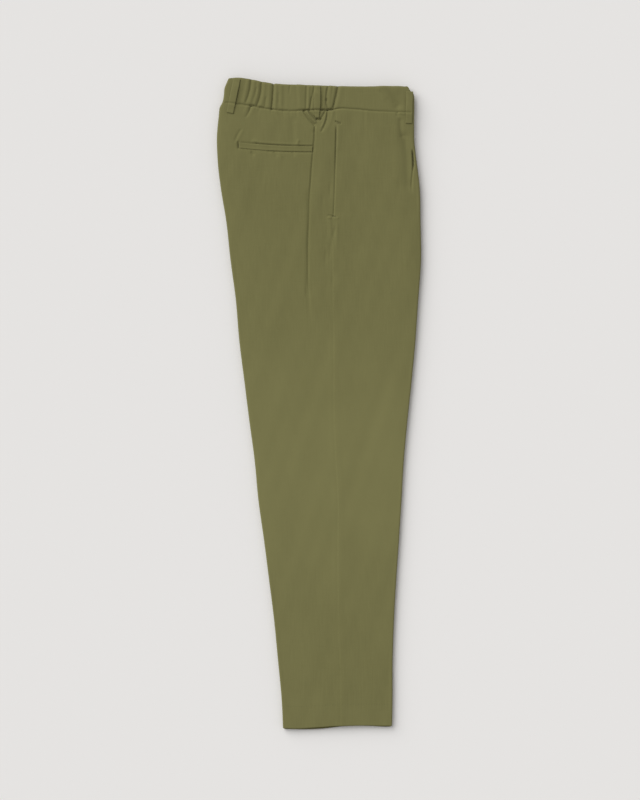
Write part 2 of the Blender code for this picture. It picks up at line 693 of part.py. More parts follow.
def hidden_section(section, height):
    """Closed outline of the folded layers, clockwise seen from the hem, from the top left."""
    edge = folded_edge(section)
    in_band = smoothstep(WAIST_SEAM - HIDDEN_LEG_END, WAIST_SEAM - HIDDEN_BAND_START, height)
    wall = panel_wall(height) + in_band * (BAND_WALL - PANEL_WALL)
    room = LEG_ROOM + in_band * (BAND_ROOM - LEG_ROOM)
    left = section.left + section.roll
    right = section.right - section.roll
    edge_z = edge.centre_z + HIDDEN_ROLL
    top_z = section.top - wall - room
    top = []
    for x in spread(left, right, HIDDEN_TOP_COLUMNS):
        share = min(min(x - left, right - x) / EDGE_FALL, 1.0)
        top.append((x, edge_z + (top_z - edge_z) * (1 - (1 - share) ** 2)))
    lip_z = section.under + SEAM_GAP + wall + SEAM_GAP
    lip_z = min(lip_z, edge.centre_z - HIDDEN_ROLL)
    notch = LIP + LIP_ROOM
    round_under = section.under / 2
    under_left = section.left + UNDER_LEG_INSET + round_under
    under_right = section.right - UNDER_LEG_INSET - round_under
    outline = list(top)
    outline += arc(right, edge.centre_z, HIDDEN_ROLL, 0.25, -0.25, HIDDEN_ROLL_STEPS)[1:]
    outline += [(right - notch, lip_z), (right - notch, section.under)]
    outline += arc(under_right, round_under, round_under, 0.25, -0.25, UNDER_ROLL_STEPS)
    outline += [(right - notch, 0.0), ((left + right) / 2, 0.0), (left + notch, 0.0)]
    outline += arc(under_left, round_under, round_under, -0.25, -0.75, UNDER_ROLL_STEPS)
    outline += [(left + notch, section.under), (left + notch, lip_z)]
    outline += arc(left, edge.centre_z, HIDDEN_ROLL, -0.25, -0.75, HIDDEN_ROLL_STEPS)[:-1]
    return outline


def hidden_y(height, x):
    """y of a point of the folded layers, from the under leg's hem to just inside the waist."""
    if height <= WAIST_SEAM:
        return row_y(height, x, UNDER_HEM_LINE)
    share = (height - WAIST_SEAM) / (BAND_TOP - WAIST_SEAM)
    low = line_y(WAIST_SEAM_LINE, x)
    return low + share * (line_y(BAND_TOP_LINE, x) - HIDDEN_END_SETBACK - low)


def end_triangles(outline):
    """Fill one end of a loft, wound as the outline runs."""
    flat = [Vector((x, z, 0.0)) for x, _, z in outline]
    triangles = [tuple(triangle) for triangle in tessellate_polygon([flat])]
    turns = [(flat[b] - flat[a]).cross(flat[c] - flat[a]).z for a, b, c in triangles]
    if sum(turns) > 0:
        return [(a, c, b) for a, b, c in triangles]
    return triangles


def loft(name, outlines):
    """Close a run of outlines, each with as many points, into one solid."""
    count = len(outlines[0])
    points = [point for outline in outlines for point in outline]
    faces = []
    for i in range(len(outlines) - 1):
        for j in range(count):
            a = i * count + j
            b = i * count + (j + 1) % count
            faces.append((a, b, b + count, a + count))
    last = len(points) - count
    faces += [tuple(reversed(triangle)) for triangle in end_triangles(outlines[0])]
    faces += [tuple(corner + last for corner in triangle) for triangle in end_triangles(outlines[-1])]
    return add_object(name, points, faces, cloth_material(name, INNER_CLOTH_COLOUR))


def cut_slit(item, slit, y_end, y_inside, section):
    """Cut one flat slit into the folded layers with a box that stays as a hidden guide."""
    left = section.left + slit.inset
    right = section.right - slit.inset
    bpy.ops.mesh.primitive_cube_add(
        size=1.0,
        location=((left + right) / 2, (y_end + y_inside) / 2, (slit.low + slit.high) / 2),
        scale=(right - left, abs(y_inside - y_end), slit.high - slit.low))
    box = bpy.context.active_object
    box.name = slit.name
    box.hide_render = True
    box.display_type = "WIRE"
    cut = item.modifiers.new(slit.name, "BOOLEAN")
    cut.operation = "DIFFERENCE"
    cut.solver = "EXACT"
    cut.object = box
    return box


def folded_layers():
    """The hidden layers: one rounded solid, flat below, slit at both ends where cloth parts."""
    plain = [HEM + row for row in PLAIN_ROWS]
    near = spread(FOLDED_ROWS_FROM, WAIST_SEAM - HIDDEN_LEG_END, HIDDEN_NEAR_ROWS)
    in_band = [WAIST_SEAM + row for row in HIDDEN_BAND_ROWS]
    heights = plain + near + in_band + [BAND_TOP]
    outlines = []
    for height in heights:
        outline = hidden_section(section_at(height), height)
        outlines.append([(x, hidden_y(height, x), z) for x, z in outline])
    item = loft("folded_layers", outlines)
    guides = []
    for slit in HEM_SLITS:
        guides.append(cut_slit(item, slit, -SLIT_BEYOND, slit.depth, section_at(HEM)))
    for slit in WAIST_SLITS:
        inside = BAND_TOP - slit.depth
        outside = BAND_TOP + SLIT_BEYOND
        guides.append(cut_slit(item, slit, outside, inside, section_at(BAND_TOP)))
    return item, guides


# ---- The garment ----------------------------------------------------------------------------
def clear_scene():
    """Remove every object that the file holds."""
    for item in list(bpy.data.objects):
        bpy.data.objects.remove(item, do_unlink=True)


def centre_on_origin(items):
    """Move everything so that the garment's box stands centred on the origin, bottom at 0."""
    solids = [item for item in items if not item.hide_render]
    points = np.array([tuple(vertex.co) for item in solids for vertex in item.data.vertices])
    middle = (points.min(axis=0) + points.max(axis=0)) / 2
    for item in items:
        item.location.x -= middle[0]
        item.location.y -= middle[1]


def main():
    """Build every piece of the garment."""
    clear_scene()
    items = [
        leg_panel("right_front", 1),
        leg_panel("right_back", -1),
        band_part("waistband_front", 1, BAND_FRONT_COLUMNS),
        band_part("waistband_back", -1, BAND_BACK_COLUMNS),
        back_welt(),
    ]
    items += [belt_loop(strip) for strip in STRIPS]
    hidden, guides = folded_layers()
    centre_on_origin(items + [hidden] + guides)


main()
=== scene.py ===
"""Looks of a pair of olive linen chinos, laid flat and folded along the leg creases.

Sizes are in metres, and the tables' rows are in millimetres. The garment is worked out in its own
pattern frame: x from the middle line towards the front creases, y up from the lowest point of the
under leg's hem, z up from the surface it lies on. One shift then puts each piece where the solids
are.
"""
import logging
import math
from dataclasses import dataclass
from enum import Enum
from typing import Iterable, NamedTuple, Sequence

import bpy
import numpy as np
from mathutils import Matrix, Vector


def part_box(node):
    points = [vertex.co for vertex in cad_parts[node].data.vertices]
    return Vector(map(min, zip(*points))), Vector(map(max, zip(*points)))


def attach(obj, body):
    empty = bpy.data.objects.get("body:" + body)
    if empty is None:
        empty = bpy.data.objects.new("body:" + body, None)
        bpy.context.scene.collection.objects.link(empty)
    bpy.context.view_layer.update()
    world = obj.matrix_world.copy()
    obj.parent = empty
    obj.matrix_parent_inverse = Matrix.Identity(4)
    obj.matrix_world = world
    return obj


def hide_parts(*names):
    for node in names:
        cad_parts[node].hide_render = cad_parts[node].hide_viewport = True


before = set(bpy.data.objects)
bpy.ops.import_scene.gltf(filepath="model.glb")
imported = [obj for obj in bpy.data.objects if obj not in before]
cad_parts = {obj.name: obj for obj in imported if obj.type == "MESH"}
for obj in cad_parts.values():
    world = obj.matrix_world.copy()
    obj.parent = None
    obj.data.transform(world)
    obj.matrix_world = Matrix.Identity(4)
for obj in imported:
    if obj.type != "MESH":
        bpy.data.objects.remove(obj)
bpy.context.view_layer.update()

log = logging.getLogger("chinos")
Array = np.ndarray
Mesh = tuple[Array, Array]      # points and quads
Range = tuple[float, float]    # where something starts and ends
Item = bpy.types.Object
Material = bpy.types.Material
Tree = bpy.types.NodeTree
Socket = bpy.types.NodeSocket
MM_PER_METRE = 1000.0


# ---- The garment's sizes --------------------------------------------------------------------
class Section(NamedTuple):
    """A section of the folded stack, or the same seven sizes as arrays for many heights."""

    height: float   # up the garment
    left: float     # back crease
    seam: float     # outseam
    right: float    # front crease
    under: float    # top of the under leg
    roll: float     # outer radius of the top leg's folded edges
    top: float      # top of the stack away from its edges


class Place(NamedTuple):
    """A point of a line across or up the garment."""

    x: float
    y: float


def metres(row: Iterable[float]) -> list[float]:
    """Turn a row of millimetres into metres."""
    return [value / MM_PER_METRE for value in row]


def line(*points: tuple[float, float]) -> tuple[Place, ...]:
    """Return a line through points that are given in millimetres."""
    return tuple(Place(*metres(point)) for point in points)


SECTIONS = tuple(Section(*metres(row)) for row in (
    # height, left, seam, right, under, roll, top
    (2.4, -57.7, 35.2, 116.8, 4.2, 2.25, 9),
    (47, -59.8, 35.2, 117.6, 4.2, 2.25, 9.1),
    (111.2, -65.8, 33.6, 117.8, 4.2, 2.25, 9.2),
    (175.2, -72, 31.2, 120, 4.25, 2.26, 9.3),
    (239.2, -80, 30.4, 123.6, 4.3, 2.28, 9.5),
    (303.2, -88.2, 30.4, 128, 4.35, 2.3, 9.7),
    (367.2, -97.1, 30.8, 132, 4.4, 2.35, 10),
    (431.2, -103.2, 27.2, 135.8, 4.5, 2.4, 10.3),
    (495.2, -111.8, 24.2, 141.6, 4.6, 2.45, 10.7),
    (559.2, -119.8, 24, 148.4, 4.7, 2.5, 11.1),
    (623.2, -127.8, 23.8, 154.3, 4.8, 2.56, 11.5),
    (687.2, -133.2, 22.6, 158.8, 4.9, 2.62, 12),
    (751.2, -141.7, 22.4, 163.2, 5, 2.7, 12.4),
    (815.2, -148.8, 23, 162.4, 5.2, 2.8, 12.9),
    (863.2, -156.8, 24.8, 161.4, 5.4, 2.9, 13.4),
    (911.2, -162.4, 26.3, 156, 5.6, 3, 13.8),
    (943.2, -163.4, 27.1, 152.6, 5.8, 3.1, 14.1),
    (975.2, -160.2, 27.6, 152.1, 5.95, 3.22, 14.5),
    (985, -159, 27.6, 152.2, 5.98, 3.26, 14.6),
    (994, -154.5, 27.6, 152.4, 6, 3.3, 14.6),
    (1006, -152.2, 28, 152.4, 6, 3.3, 14.6),
    (1015, -151.4, 28.4, 152.4, 6, 3.3, 14.6),
    (1025, -147.6, 28.7, 152.4, 6, 3.3, 14.6),
    (1031, -144.8, 28.8, 152.4, 6, 3.3, 14.6),
))
WAIST_SEAM_LINE = line(
    (-154, 1004), (-134.4, 1000.8), (-110.4, 997.6), (-78.4, 992), (-43.2, 989.3), (-20.8, 990.8),
    (20.8, 991.2), (33.6, 993.2), (52.8, 992.3), (64, 991.8), (75.2, 990.4), (88, 989.2),
    (110.4, 988.3), (129.6, 987.6), (152, 986.8),
)
BAND_TOP_LINE = line(
    (-144, 1041.6), (-132.8, 1042.7), (-110.4, 1040.4), (-91.2, 1036.2), (-67.2, 1032.8),
    (-30.4, 1031.2), (14.4, 1029.6), (73.6, 1028.5), (113.6, 1029.1), (136, 1028.5), (143, 1027),
    (145, 1023.2), (147.2, 1020), (150, 1018.8), (152, 1013),
)
HEM_LINE = line(
    (-56, 2.2), (-36.8, 1.6), (-8, 3.4), (20.8, 5.4), (68.8, 6.6), (107.2, 6.2), (116, 6.2),
)
UNDER_HEM_LINE = line(
    (-56, 0.6), (-30, 0), (0, 0.8), (40, 4.8), (80, 5.4), (105, 4.2), (116, 4.4),
)
TUCK_LINE = line(
    (-13.8, 687), (-16.2, 706), (-17, 745), (-17, 783.2), (-15.4, 815.2), (-14.8, 847.2),
    (-12.6, 879.2), (-10.2, 911.2), (-8, 933.6), (-6.8, 948), (-6.4, 964),
)
PLEAT_LINE = line(
    (147.4, 860), (148.3, 879), (149.7, 892), (150.6, 903), (150.4, 914), (149.4, 926),
)
# Depth of the waist seam (y) at places across the garment (x).
SEAM_DEPTHS = line(
    (-154, 0.8), (-125, 1.2), (-105, 1.6), (-76, 1.4), (-50, 1), (-26, 1.8), (18, 2), (34, 1.4),
    (74, 1.2), (118, 0.8), (152, 0.9),
)

HEM = 0.0024              # height of the hem's fold
HEM_ALLOWANCE = 0.038
HEM_BEND_END = 0.120      # rows run straight across from here
WAIST_BEND_START = 0.880  # to here
WAIST_SEAM = 0.994
BAND_TOP = 1.031
BAND_HEIGHT = BAND_TOP - WAIST_SEAM
CROTCH = (0.640, 0.760)   # where the leg's tube opens into the seat
SEAM_GAP = 0.00008        # between two pieces that meet at a seam
LAYER_GAP = 0.0003        # between the top leg and the under leg
EDGE_FALL = 0.034         # the stack sinks towards its folded edges over this
CROWN = 0.0006            # and is this much higher in its middle


def smoothstep(low: float, high: float, value: Array) -> Array:
    """Return 0 below low, 1 above high, and a smooth step between them."""
    share = np.clip((value - low) / (high - low), 0.0, 1.0)
    return share * share * (3.0 - 2.0 * share)


def fade(low: float, high: float, value: Array) -> Array:
    """Return 1 below low, 0 above high, and a smooth step between them."""
    return 1.0 - smoothstep(low, high, value)


def bell(distance: Array, reach: float | Array) -> Array:
    """Return 1 at no distance, falling off smoothly over its reach."""
    return np.exp(-(distance / reach) ** 2)


def curve(knots: Sequence[Place], at: Array) -> Array:
    """Read a smooth curve through its knots; it goes on level past both ends.

    Args:
        knots: The knots: x is the place, rising, and y the curve's value there.
        at: Places to read it at.

    Returns:
        The curve's values at those places.
    """
    places, values = np.array(knots).T
    slopes = np.gradient(values, places)
    at = np.clip(at, places[0], places[-1])
    i = np.clip(np.searchsorted(places, at) - 1, 0, len(places) - 2)
    span = places[i + 1] - places[i]
    t = (at - places[i]) / span
    rise = values[i + 1] - values[i]
    start, end = slopes[i] * span, slopes[i + 1] * span
    bend = t * t * (3 * rise - 2 * start - end) + t**3 * (start + end - 2 * rise)
    return values[i] + t * start + bend


def curve_up(knots: Sequence[Place], y: Array) -> Array:
    """Return x of a line that runs up the garment, at y."""
    return curve([Place(knot.y, knot.x) for knot in knots], y)


def section_at(height: Array) -> Section:
    """Return the stack's section at each height, on smooth curves through SECTIONS."""
    heights = [section.height for section in SECTIONS]
    columns = ([Place(*knot) for knot in zip(heights, column)] for column in zip(*SECTIONS))
    return Section(*(curve(column, height) for column in columns))


def row_y(height: Array, x: Array, hem_line: Sequence[Place] = HEM_LINE) -> Array:
    """Run a row straight over the leg, and bend it to the hem and the waist seam.

    Args:
        height: The row's nominal height.
        x: Across the garment.
        hem_line: The line of the leg's hem.

    Returns:
        y of each point.
    """
    to_waist = smoothstep(WAIST_BEND_START, WAIST_SEAM, height)
    to_hem = fade(HEM, HEM_BEND_END, height)
    return (height + to_waist * (curve(WAIST_SEAM_LINE, x) - WAIST_SEAM)
            + to_hem * (curve(hem_line, x) - HEM))


class Edge(NamedTuple):
    """Where the top face leaves the roll of a folded edge."""

    centre_z: Array
    angle: Array    # from the top of the roll, towards the edge
    inward: Array   # from the edge, towards the middle
    z: Array


def folded_edge(section: Section) -> Edge:
    """Work out the roll of the folded edges, the same at the left and the right.

    Args:
        section: The section of the stack.

    Returns:
        Where the top face leaves the roll.
    """
    centre_z = section.under + LAYER_GAP + section.roll
    angle = np.arctan(2 * np.maximum(section.top - centre_z - section.roll, 0.0) / EDGE_FALL)
    inward = section.roll * (1 - np.sin(angle))
    return Edge(centre_z, angle, inward, centre_z + section.roll * np.cos(angle))


def face_height(section: Section, x: Array) -> Array:
    """Work out the smooth outer face, away from all folds.

    Args:
        section: The section at each point.
        x: Across the garment.

    Returns:
        z of each point.
    """
    edge = folded_edge(section)
    half = (section.right - section.left) / 2
    inside = half - np.abs(x - (section.right + section.left) / 2)
    across = np.clip(section.roll - inside, 0.0, section.roll)
    on_roll = edge.centre_z + np.sqrt(section.roll**2 - across**2)
    share = np.clip((inside - edge.inward) / EDGE_FALL, 0.0, 1.0)
    crown = CROWN * smoothstep(0.0, 1.0, inside / half)
    flat = edge.z + (section.top - edge.z) * (1 - (1 - share) ** 2) + crown
    return np.where(inside < edge.inward, on_roll, flat)


# ---- Folds and creases ----------------------------------------------------------------------
class Fold(NamedTuple):
    """A soft ridge (rise above 0) or trough (rise below 0) along a gently bowed line."""

    x_high: float
    y_high: float
    x_low: float
    y_low: float
    rise: float
    reach: float        # half its width
    bow: float = 0.0   # how far the line's middle stands to the right of its ends
    tail: float = 1.0  # share of its rise that is left at its low end


def folds(*rows: tuple[float, ...]) -> tuple[Fold, ...]:
    """Return folds from rows of Fold's values: lengths in millimetres, then the tail's share."""
    return tuple(Fold(*metres(row[:7]), *row[7:]) for row in rows)


def fold_height(creases: Sequence[Fold], x: Array, y: Array) -> Array:
    """Add up the height that folds give to each point.

    Args:
        creases: The folds.
        x: Across the garment.
        y: Up the garment.

    Returns:
        The height added at each point.
    """
    total = np.zeros(np.broadcast(x, y).shape)
    for fold in creases:
        run_x, run_y = fold.x_low - fold.x_high, fold.y_low - fold.y_high
        length = math.hypot(run_x, run_y)
        share = ((x - fold.x_high) * run_x + (y - fold.y_high) * run_y) / length**2
        share = np.clip(share, 0.0, 1.0)
        bow = 4 * fold.bow * share * (1 - share)
        away_x = x - fold.x_high - share * run_x + bow * run_y / length
        away_y = y - fold.y_high - share * run_y - bow * run_x / length
        strength = fold.rise * (1 + (fold.tail - 1) * share)
        total += strength * np.exp(-(away_x**2 + away_y**2) / fold.reach**2)
    return total


# Troughs between the puffs of the elasticated band: a broad hollow each, and a crease in it.
BAND_GATHERS = folds(
    (-117.4, 1038, -125.9, 1001, -0.5, 4), (-108.8, 1038, -116.8, 1004, -1.7, 1.5, 1.8, 0.5),
    (-108.8, 1038, -116.8, 1004, -0.6, 4.2, 1.8, 0.6),
    (-100.2, 1025, -104.4, 1009, -0.6, 1.6, 0.6, 0.4), (-92, 1033.2, -99.2, 998, -1.6, 1.4, 2, 0.8),
    (-92, 1033.2, -99.2, 998, -0.6, 4, 2), (-84.8, 1010, -86.4, 997, -0.7, 1.7),
    (-72.8, 1032, -76, 991, -2.2, 1.4, 0.4), (-72.8, 1032, -76, 991, -0.6, 4.4),
    (-64.4, 1016, -64.8, 1002, -0.4, 2), (-55.4, 1027, -56.4, 998, -0.3, 3.4),
    (-46.4, 1029, -47.4, 1017, -1, 1.5, 0, 0.2), (-36.4, 1028, -34.4, 998, -0.3, 3),
    (-19.8, 1028, -20.8, 994, -1.1, 1.8), (-7.2, 1027, -10.2, 1014, -1.2, 1.8, 0, 0.6),
    (-11.6, 1011, -14, 994, -1.4, 1.4), (14.4, 1027, 12, 1006, -1.2, 1.6, -1),
    (11.6, 1008, 15.4, 992, -1.5, 1.4, -1.2), (30.2, 1027, 22.8, 995, -1.7, 1.5, 0.4),
    (30.2, 1027, 22.8, 995, -0.5, 4.4, 0.4),
)
BAND_PUFFS = folds(
    (-113, 1038, -120.6, 1004, 0.5, 2.8), (-103.6, 1035, -110.4, 1004, 0.6, 2.6, 1.2),
    (-96.9, 1032, -103, 1001, 0.5, 1.8, 1.6), (-87.4, 1032, -92.8, 999, 0.5, 2.4, 1.6),
    (-78.4, 1031, -81, 995, 0.4, 2.2), (-68.4, 1031, -70, 993, 0.7, 2.4),
    (-60.4, 1029, -60, 994, 0.4, 2.8), (-31.4, 1029, -31.4, 994, 0.5, 5),
    (-16, 1027, -17.4, 994, 0.6, 1.6), (10.4, 1026, 8, 994, 0.5, 1.6),
    (18.6, 1027, 16.6, 994, 0.6, 2.6), (24.8, 1026, 20, 996, 0.5, 2), (35.6, 1025, 29.6, 998, 0.4, 3),
)
# Where a gather meets the waist seam, the cloth is pulled down into a knot.
SEAM_KNOTS = folds(
    (-127.4, 1001.4, -122.4, 1000.6, -0.5, 1.4), (-109.6, 998.4, -104.4, 997.4, -1.4, 1.5),
    (-94.4, 995.4, -88.4, 994.2, -0.6, 1.4), (-76, 992, -72.8, 991.6, -1, 1.5),
    (-62.4, 990.6, -50.4, 990, -0.6, 1.3), (-24, 990, -16.4, 990.4, -1.8, 1.6),
    (3.2, 991, 7.6, 991.2, -1.2, 1.4), (13.6, 991.2, 21.6, 991.4, -1.7, 1.7),
)
# The flat part of the band: the broad dent near its front end, and soft dips.
BAND_FRONT_FOLDS = folds(
    (98.5, 1033, 125.6, 998, 4, 5.4, 1, 0), (98.5, 1033, 125.6, 998, -0.1, 5.6, 1, 20),
    (95.4, 1023.4, 103.4, 1010.4, 0.6, 4.5, -0.6, 0.8), (97.5, 1020, 119, 1001, -0.5, 1.2, -1),
    (110.4, 1029.4, 120.4, 1022.4, 0.6, 6), (70.4, 1020.4, 80.4, 1002.4, -0.3, 8),
    (139, 1025.4, 139.6, 1000.4, -0.2, 1.8),
)
# Drag wrinkles that hang from the gathered seam, and the folds to the side loop's foot.
SEAT_FOLDS = folds(
    (-109, 997.2, -116.6, 980.2, -2.1, 1.5, 1, 0.3), (-114, 997.2, -121, 983.2, 0.6, 2.2, 0, 0.2),
    (-103, 996.2, -109, 981.2, 0.6, 2.4, 0, 0.2), (-94.6, 994.2, -99, 983.2, -0.5, 2, 0, 0.2),
    (-76.6, 991.2, -76.6, 986.2, -1.3, 1.6, 0, 0.3), (-74, 986.2, -68, 977.2, -0.7, 1.8, 0, 0.2),
    (-69, 990.2, -64, 978.2, 0.5, 2.2, 0, 0.2), (-58, 989.2, -56, 978.2, -0.6, 1.8, 0, 0.2),
    (-47, 988.2, -46, 978.2, -0.5, 1.8, 0, 0.2), (-36, 988.2, -35, 976.2, -0.5, 2, 0, 0.2),
    (-43, 974.2, -41, 940.2, -0.5, 5), (-36, 968.2, -34, 936.2, 0.3, 4),
    (-126, 958.2, -134, 942.2, -0.7, 2, -0.6), (-122, 957.2, -130, 942.2, 0.3, 2.2),
    (-24.3, 988.8, -7.8, 967.6, -2.4, 1.7, -1, 1.1), (-20, 989, -6, 971.2, 1.6, 1.5, -0.8, 0.9),
    (-15.7, 989, -4, 976.4, -2.6, 1.4, -0.6, 1), (-33, 987.2, -15, 960.2, 0.6, 3, -1, 0.6),
    (9.8, 989, 2.4, 976.4, -1.8, 1.3, 0.4, 0.9), (11.6, 988, 4.2, 964, 1, 1.4, 1.4, 0.8),
    (13, 989.8, 4, 957, -2, 1.5, 2.4, 0.6), (22, 988.2, 12, 958.2, 0.7, 2.8, 1.4, 0.4),
    (-3, 975.6, 1.6, 976, -2.6, 1.9), (-6, 964.2, -7.6, 956.2, -1.2, 1.6, 0, 0.7),
)
# The back pocket: the bed that the welt lies in, the mouth above it, and puckers around it.
WELT_FOLDS = folds(
    (-126.2, 933.8, -12.2, 928.6, -1.1, 5.2, -1.7), (-129.2, 939.6, -128.8, 930.2, -1.8, 1.2),
    (-123.2, 939.4, -100.2, 937.2, -0.6, 1.1, -0.4, 1.6), (-100.2, 937.2, -11.2, 933.4, -1.1, 1.1, -1),
    (-97.2, 939.2, -12.2, 935.6, 0.6, 1.6, -1), (-81.2, 924.8, -12.2, 923.6, -0.7, 1.4, -0.2),
    (-107.2, 922.6, -105.2, 920.2, -1.4, 2.2), (-71.2, 922.6, -68.2, 918.6, -1, 2.6),
    (-63.2, 921.6, -60.2, 916.6, 0.5, 3), (-42.2, 922.2, -40.2, 919.6, -0.6, 2.4),
    (-105.2, 941, -100.2, 940.4, 0.7, 2.2), (-34.2, 937.6, -33.2, 941.6, 0.9, 1.8),
)
# Long soft folds of the leg, and short creases along the pocket bag and the outseam.
LEG_FOLDS = folds(
    (-145, 906, -148, 896, -0.4, 6), (-110, 880, -100, 790, -0.2, 12), (-70, 880, -60, 760, 0.3, 15),
    (-52, 750, -50, 640, -0.2, 12), (-17.6, 699, -15, 656, -0.8, 3.2, 0, 0.2),
    (-17.6, 860, -20.2, 696, -0.7, 2.6, 0.6), (-2, 700, 6, 670, 0.5, 8, 0, 0.3),
    (60, 890, 50, 760, -0.3, 13), (82, 850, 86, 700, 0.2, 14), (128, 820, 130, 700, -0.3, 12),
    (25, 800, 23.6, 792, -0.9, 2.6), (17, 817, 18.6, 790, 0.6, 3.6), (29, 808, 28, 774, 0.5, 3.4),
    (19, 778, 17, 756, -0.5, 3), (11, 764, 10.4, 750, -0.5, 2.2), (6, 854, 5.6, 840, -0.4, 2.4),
    (17.6, 870, 18, 856, -0.5, 1.8), (22, 726, 22, 714, -0.4, 2.6), (-60, 520, -30, 430, 0.3, 20),
    (70, 500, 90, 410, -0.3, 18), (-50, 430, -35, 330, -0.2, 16), (85, 320, 75, 200, 0.2, 15),
    (-25, 200, -20, 90, 0.2, 13),
)
# The hip's front: folds beside the pleat, and puckers at both ends of the side pocket.
HIP_FOLDS = folds(
    (130, 974, 133, 950, -1.1, 3.4, -1), (137, 948, 143, 870, -2, 6.4, 1, 0.6),
    (122, 960, 124, 880, 0.4, 6), (142, 870, 144, 820, -0.4, 7, 0, 0.3),
    (26.8, 972.4, 34.2, 969.4, -1.8, 1.1), (32, 964, 31, 930, 0.4, 4),
    (14.8, 822.6, 23.2, 821.8, -0.9, 1), (15, 818.8, 18.5, 818.4, 0.7, 1.4),
    (29.6, 818.4, 30.4, 818, 0.5, 1.4), (72.6, 990, 72.2, 938, -0.4, 3, 0, 0.2),
    (76.4, 990, 75.8, 940, 0.3, 3, 0, 0.2), (56, 980, 52, 930, -0.2, 10),
    (124.8, 988.2, 125, 982, -1, 1.4), (129, 986, 136, 985, 0.7, 2),
)


@dataclass(frozen=True)
class Tuck:
    """The cloth that laps over to the left along a crisp line, above the pocket bag."""

    rise: float = 0.0013
    half: float = 0.0030           # half the width of the columns that make the fold
    lap: float = 0.0011            # how far the cloth doubles back on itself
    lap_bend: float = 0.36         # where it doubles back most, as a share of half
    sinks: Range = (0.010, 0.036)  # where it lies flat again, right of the line
    starts: Range = (0.680, 0.720)
    full: Range = (0.780, 0.880)   # grows to its full strength between these
    low_share: float = 0.70        # strength below them
    ends: Range = (0.954, 0.974)
    crisp: float = 0.40            # half the width of the fold's own step, as a share
    crease: float = 0.0011         # depth of the crease in front of the fold
    crease_place: float = -0.30    # as a share of half
    crease_reach: float = 0.0022

    def strength(self, y: Array) -> Array:
        """Return how much of the fold there is at each height, from 0 to 1."""
        grown = self.low_share + (1 - self.low_share) * smoothstep(*self.full, y)
        return smoothstep(*self.starts, y) * grown * fade(*self.ends, y)

    def column_shift(self, across: Array) -> Array:
        """Return how far the fold's columns double back, for places from -1 to 1 across it."""
        bend = across / self.lap_bend
        return -self.lap * bend * np.exp(0.5 - 0.5 * bend**2)

    def height(self, x: Array, y: Array) -> Array:
        """Return the height that the tuck adds at each point away from the fold itself."""
        right_of = x - curve_up(TUCK_LINE, y)
        step = smoothstep(-self.half, self.half, right_of) * fade(*self.sinks, right_of)
        return self.rise * step * self.strength(y)

    def fold(self, across: Array) -> Array:
        """Return what the fold adds to the soft rise, for places from -1 to 1 across it."""
        step = smoothstep(-self.crisp, self.crisp, across) - smoothstep(-1.0, 1.0, across)
        crease = self.crease * bell((across - self.crease_place) * self.half, self.crease_reach)
        return self.rise * step - crease


@dataclass(frozen=True)
class Pleat:
    """The slit at the front crease where the pleat's under cloth comes out."""

    starts: Range = (0.858, 0.870)
    deepens: Range = (0.893, 0.905)
    ends: Range = (0.920, 0.930)
    depth: float = 0.0046
    shallow: float = 0.30       # share of the depth in the slit's low part
    reach: float = 0.0013

    def height(self, x: Array, y: Array) -> Array:
        """Return the depth of the slit at each point, below 0."""
        deep = smoothstep(*self.deepens, y)
        deep = self.shallow * smoothstep(*self.starts, y) + (1 - self.shallow) * deep
        return -self.depth * deep * fade(*self.ends, y) * bell(x - curve_up(PLEAT_LINE, y), self.reach)


@dataclass(frozen=True)
class Outseam:
    """The pressed allowances of the outseam and the line where the two panels meet."""

    ridge: float = 0.00025
    ridge_reach: float = 0.0085
    step: float = 0.00055               # both allowances are pressed towards the front
    step_reach: float = 0.0010
    step_run: Range = (0.0070, 0.0360)
    mouth_low: Range = (0.820, 0.826)   # the side pocket's mouth opens here
    mouth_high: Range = (0.957, 0.969)  # and closes here
    mouth_dip: float = 0.0013
    mouth_reach: float = 0.0013
    slack: Range = (0.880, 0.925)       # the mouth hangs open from here up
    low_slack: float = 0.6
    more_slack: float = 0.8
    lip: float = 0.0007                 # the front edge of the side pocket stands up
    lip_place: float = 0.0024
    lip_reach: float = 0.0015
    lip_run: float = 0.0210             # how far it falls away towards the front
    tack_dip: float = 0.0016            # the bar tack pulls the cloth in at the pocket's low end
    tack_y: float = 0.8205
    tack_size: Place = Place(0.0034, 0.0015)

    def height(self, seam: Array, x: Array, y: Array) -> Array:
        """Work out the relief of the seam and of the side pocket's mouth in it.

        Args:
            seam: x of the outseam at each point.
            x: Across the garment.
            y: Up the garment.

        Returns:
            The height added at each point.
        """
        away = x - seam
        in_mouth = smoothstep(*self.mouth_low, y) * fade(*self.mouth_high, y)
        deeper = self.low_slack + self.more_slack * smoothstep(*self.slack, y)
        ridge = self.ridge * (1 - in_mouth) * np.exp(-(away / self.ridge_reach) ** 4)
        step = self.step * (1 - in_mouth) * smoothstep(-self.step_reach, self.step_reach, away)
        step = step * fade(*self.step_run, away)
        mouth = self.mouth_dip * deeper * in_mouth * bell(away, self.mouth_reach)
        lip_reach = np.where(away > self.lip_place, self.lip_run, self.lip_reach)
        lip = self.lip * deeper * in_mouth * bell(away - self.lip_place, lip_reach)
        tack = self.tack_dip * bell(away, self.tack_size.x) * bell(y - self.tack_y, self.tack_size.y)
        return ridge + step + lip - mouth - tack


# Long low waves in the cloth: height, lengths across and along, and start.
CLOTH_WAVES = (
    (0.00016, 0.083, 0.310, 0.4), (0.00012, -0.061, 0.174, 1.9), (0.00009, 0.037, -0.121, 3.1),
    (0.00007, -0.029, 0.083, 5.2), (0.00005, 0.019, 0.059, 2.6),
)


def wave_height(x: Array, y: Array) -> Array:
    """Return the height of the cloth's long low waves at each point."""
    return sum(rise * np.sin(2 * math.pi * (x / across + y / along) + start)
               for rise, across, along, start in CLOTH_WAVES)


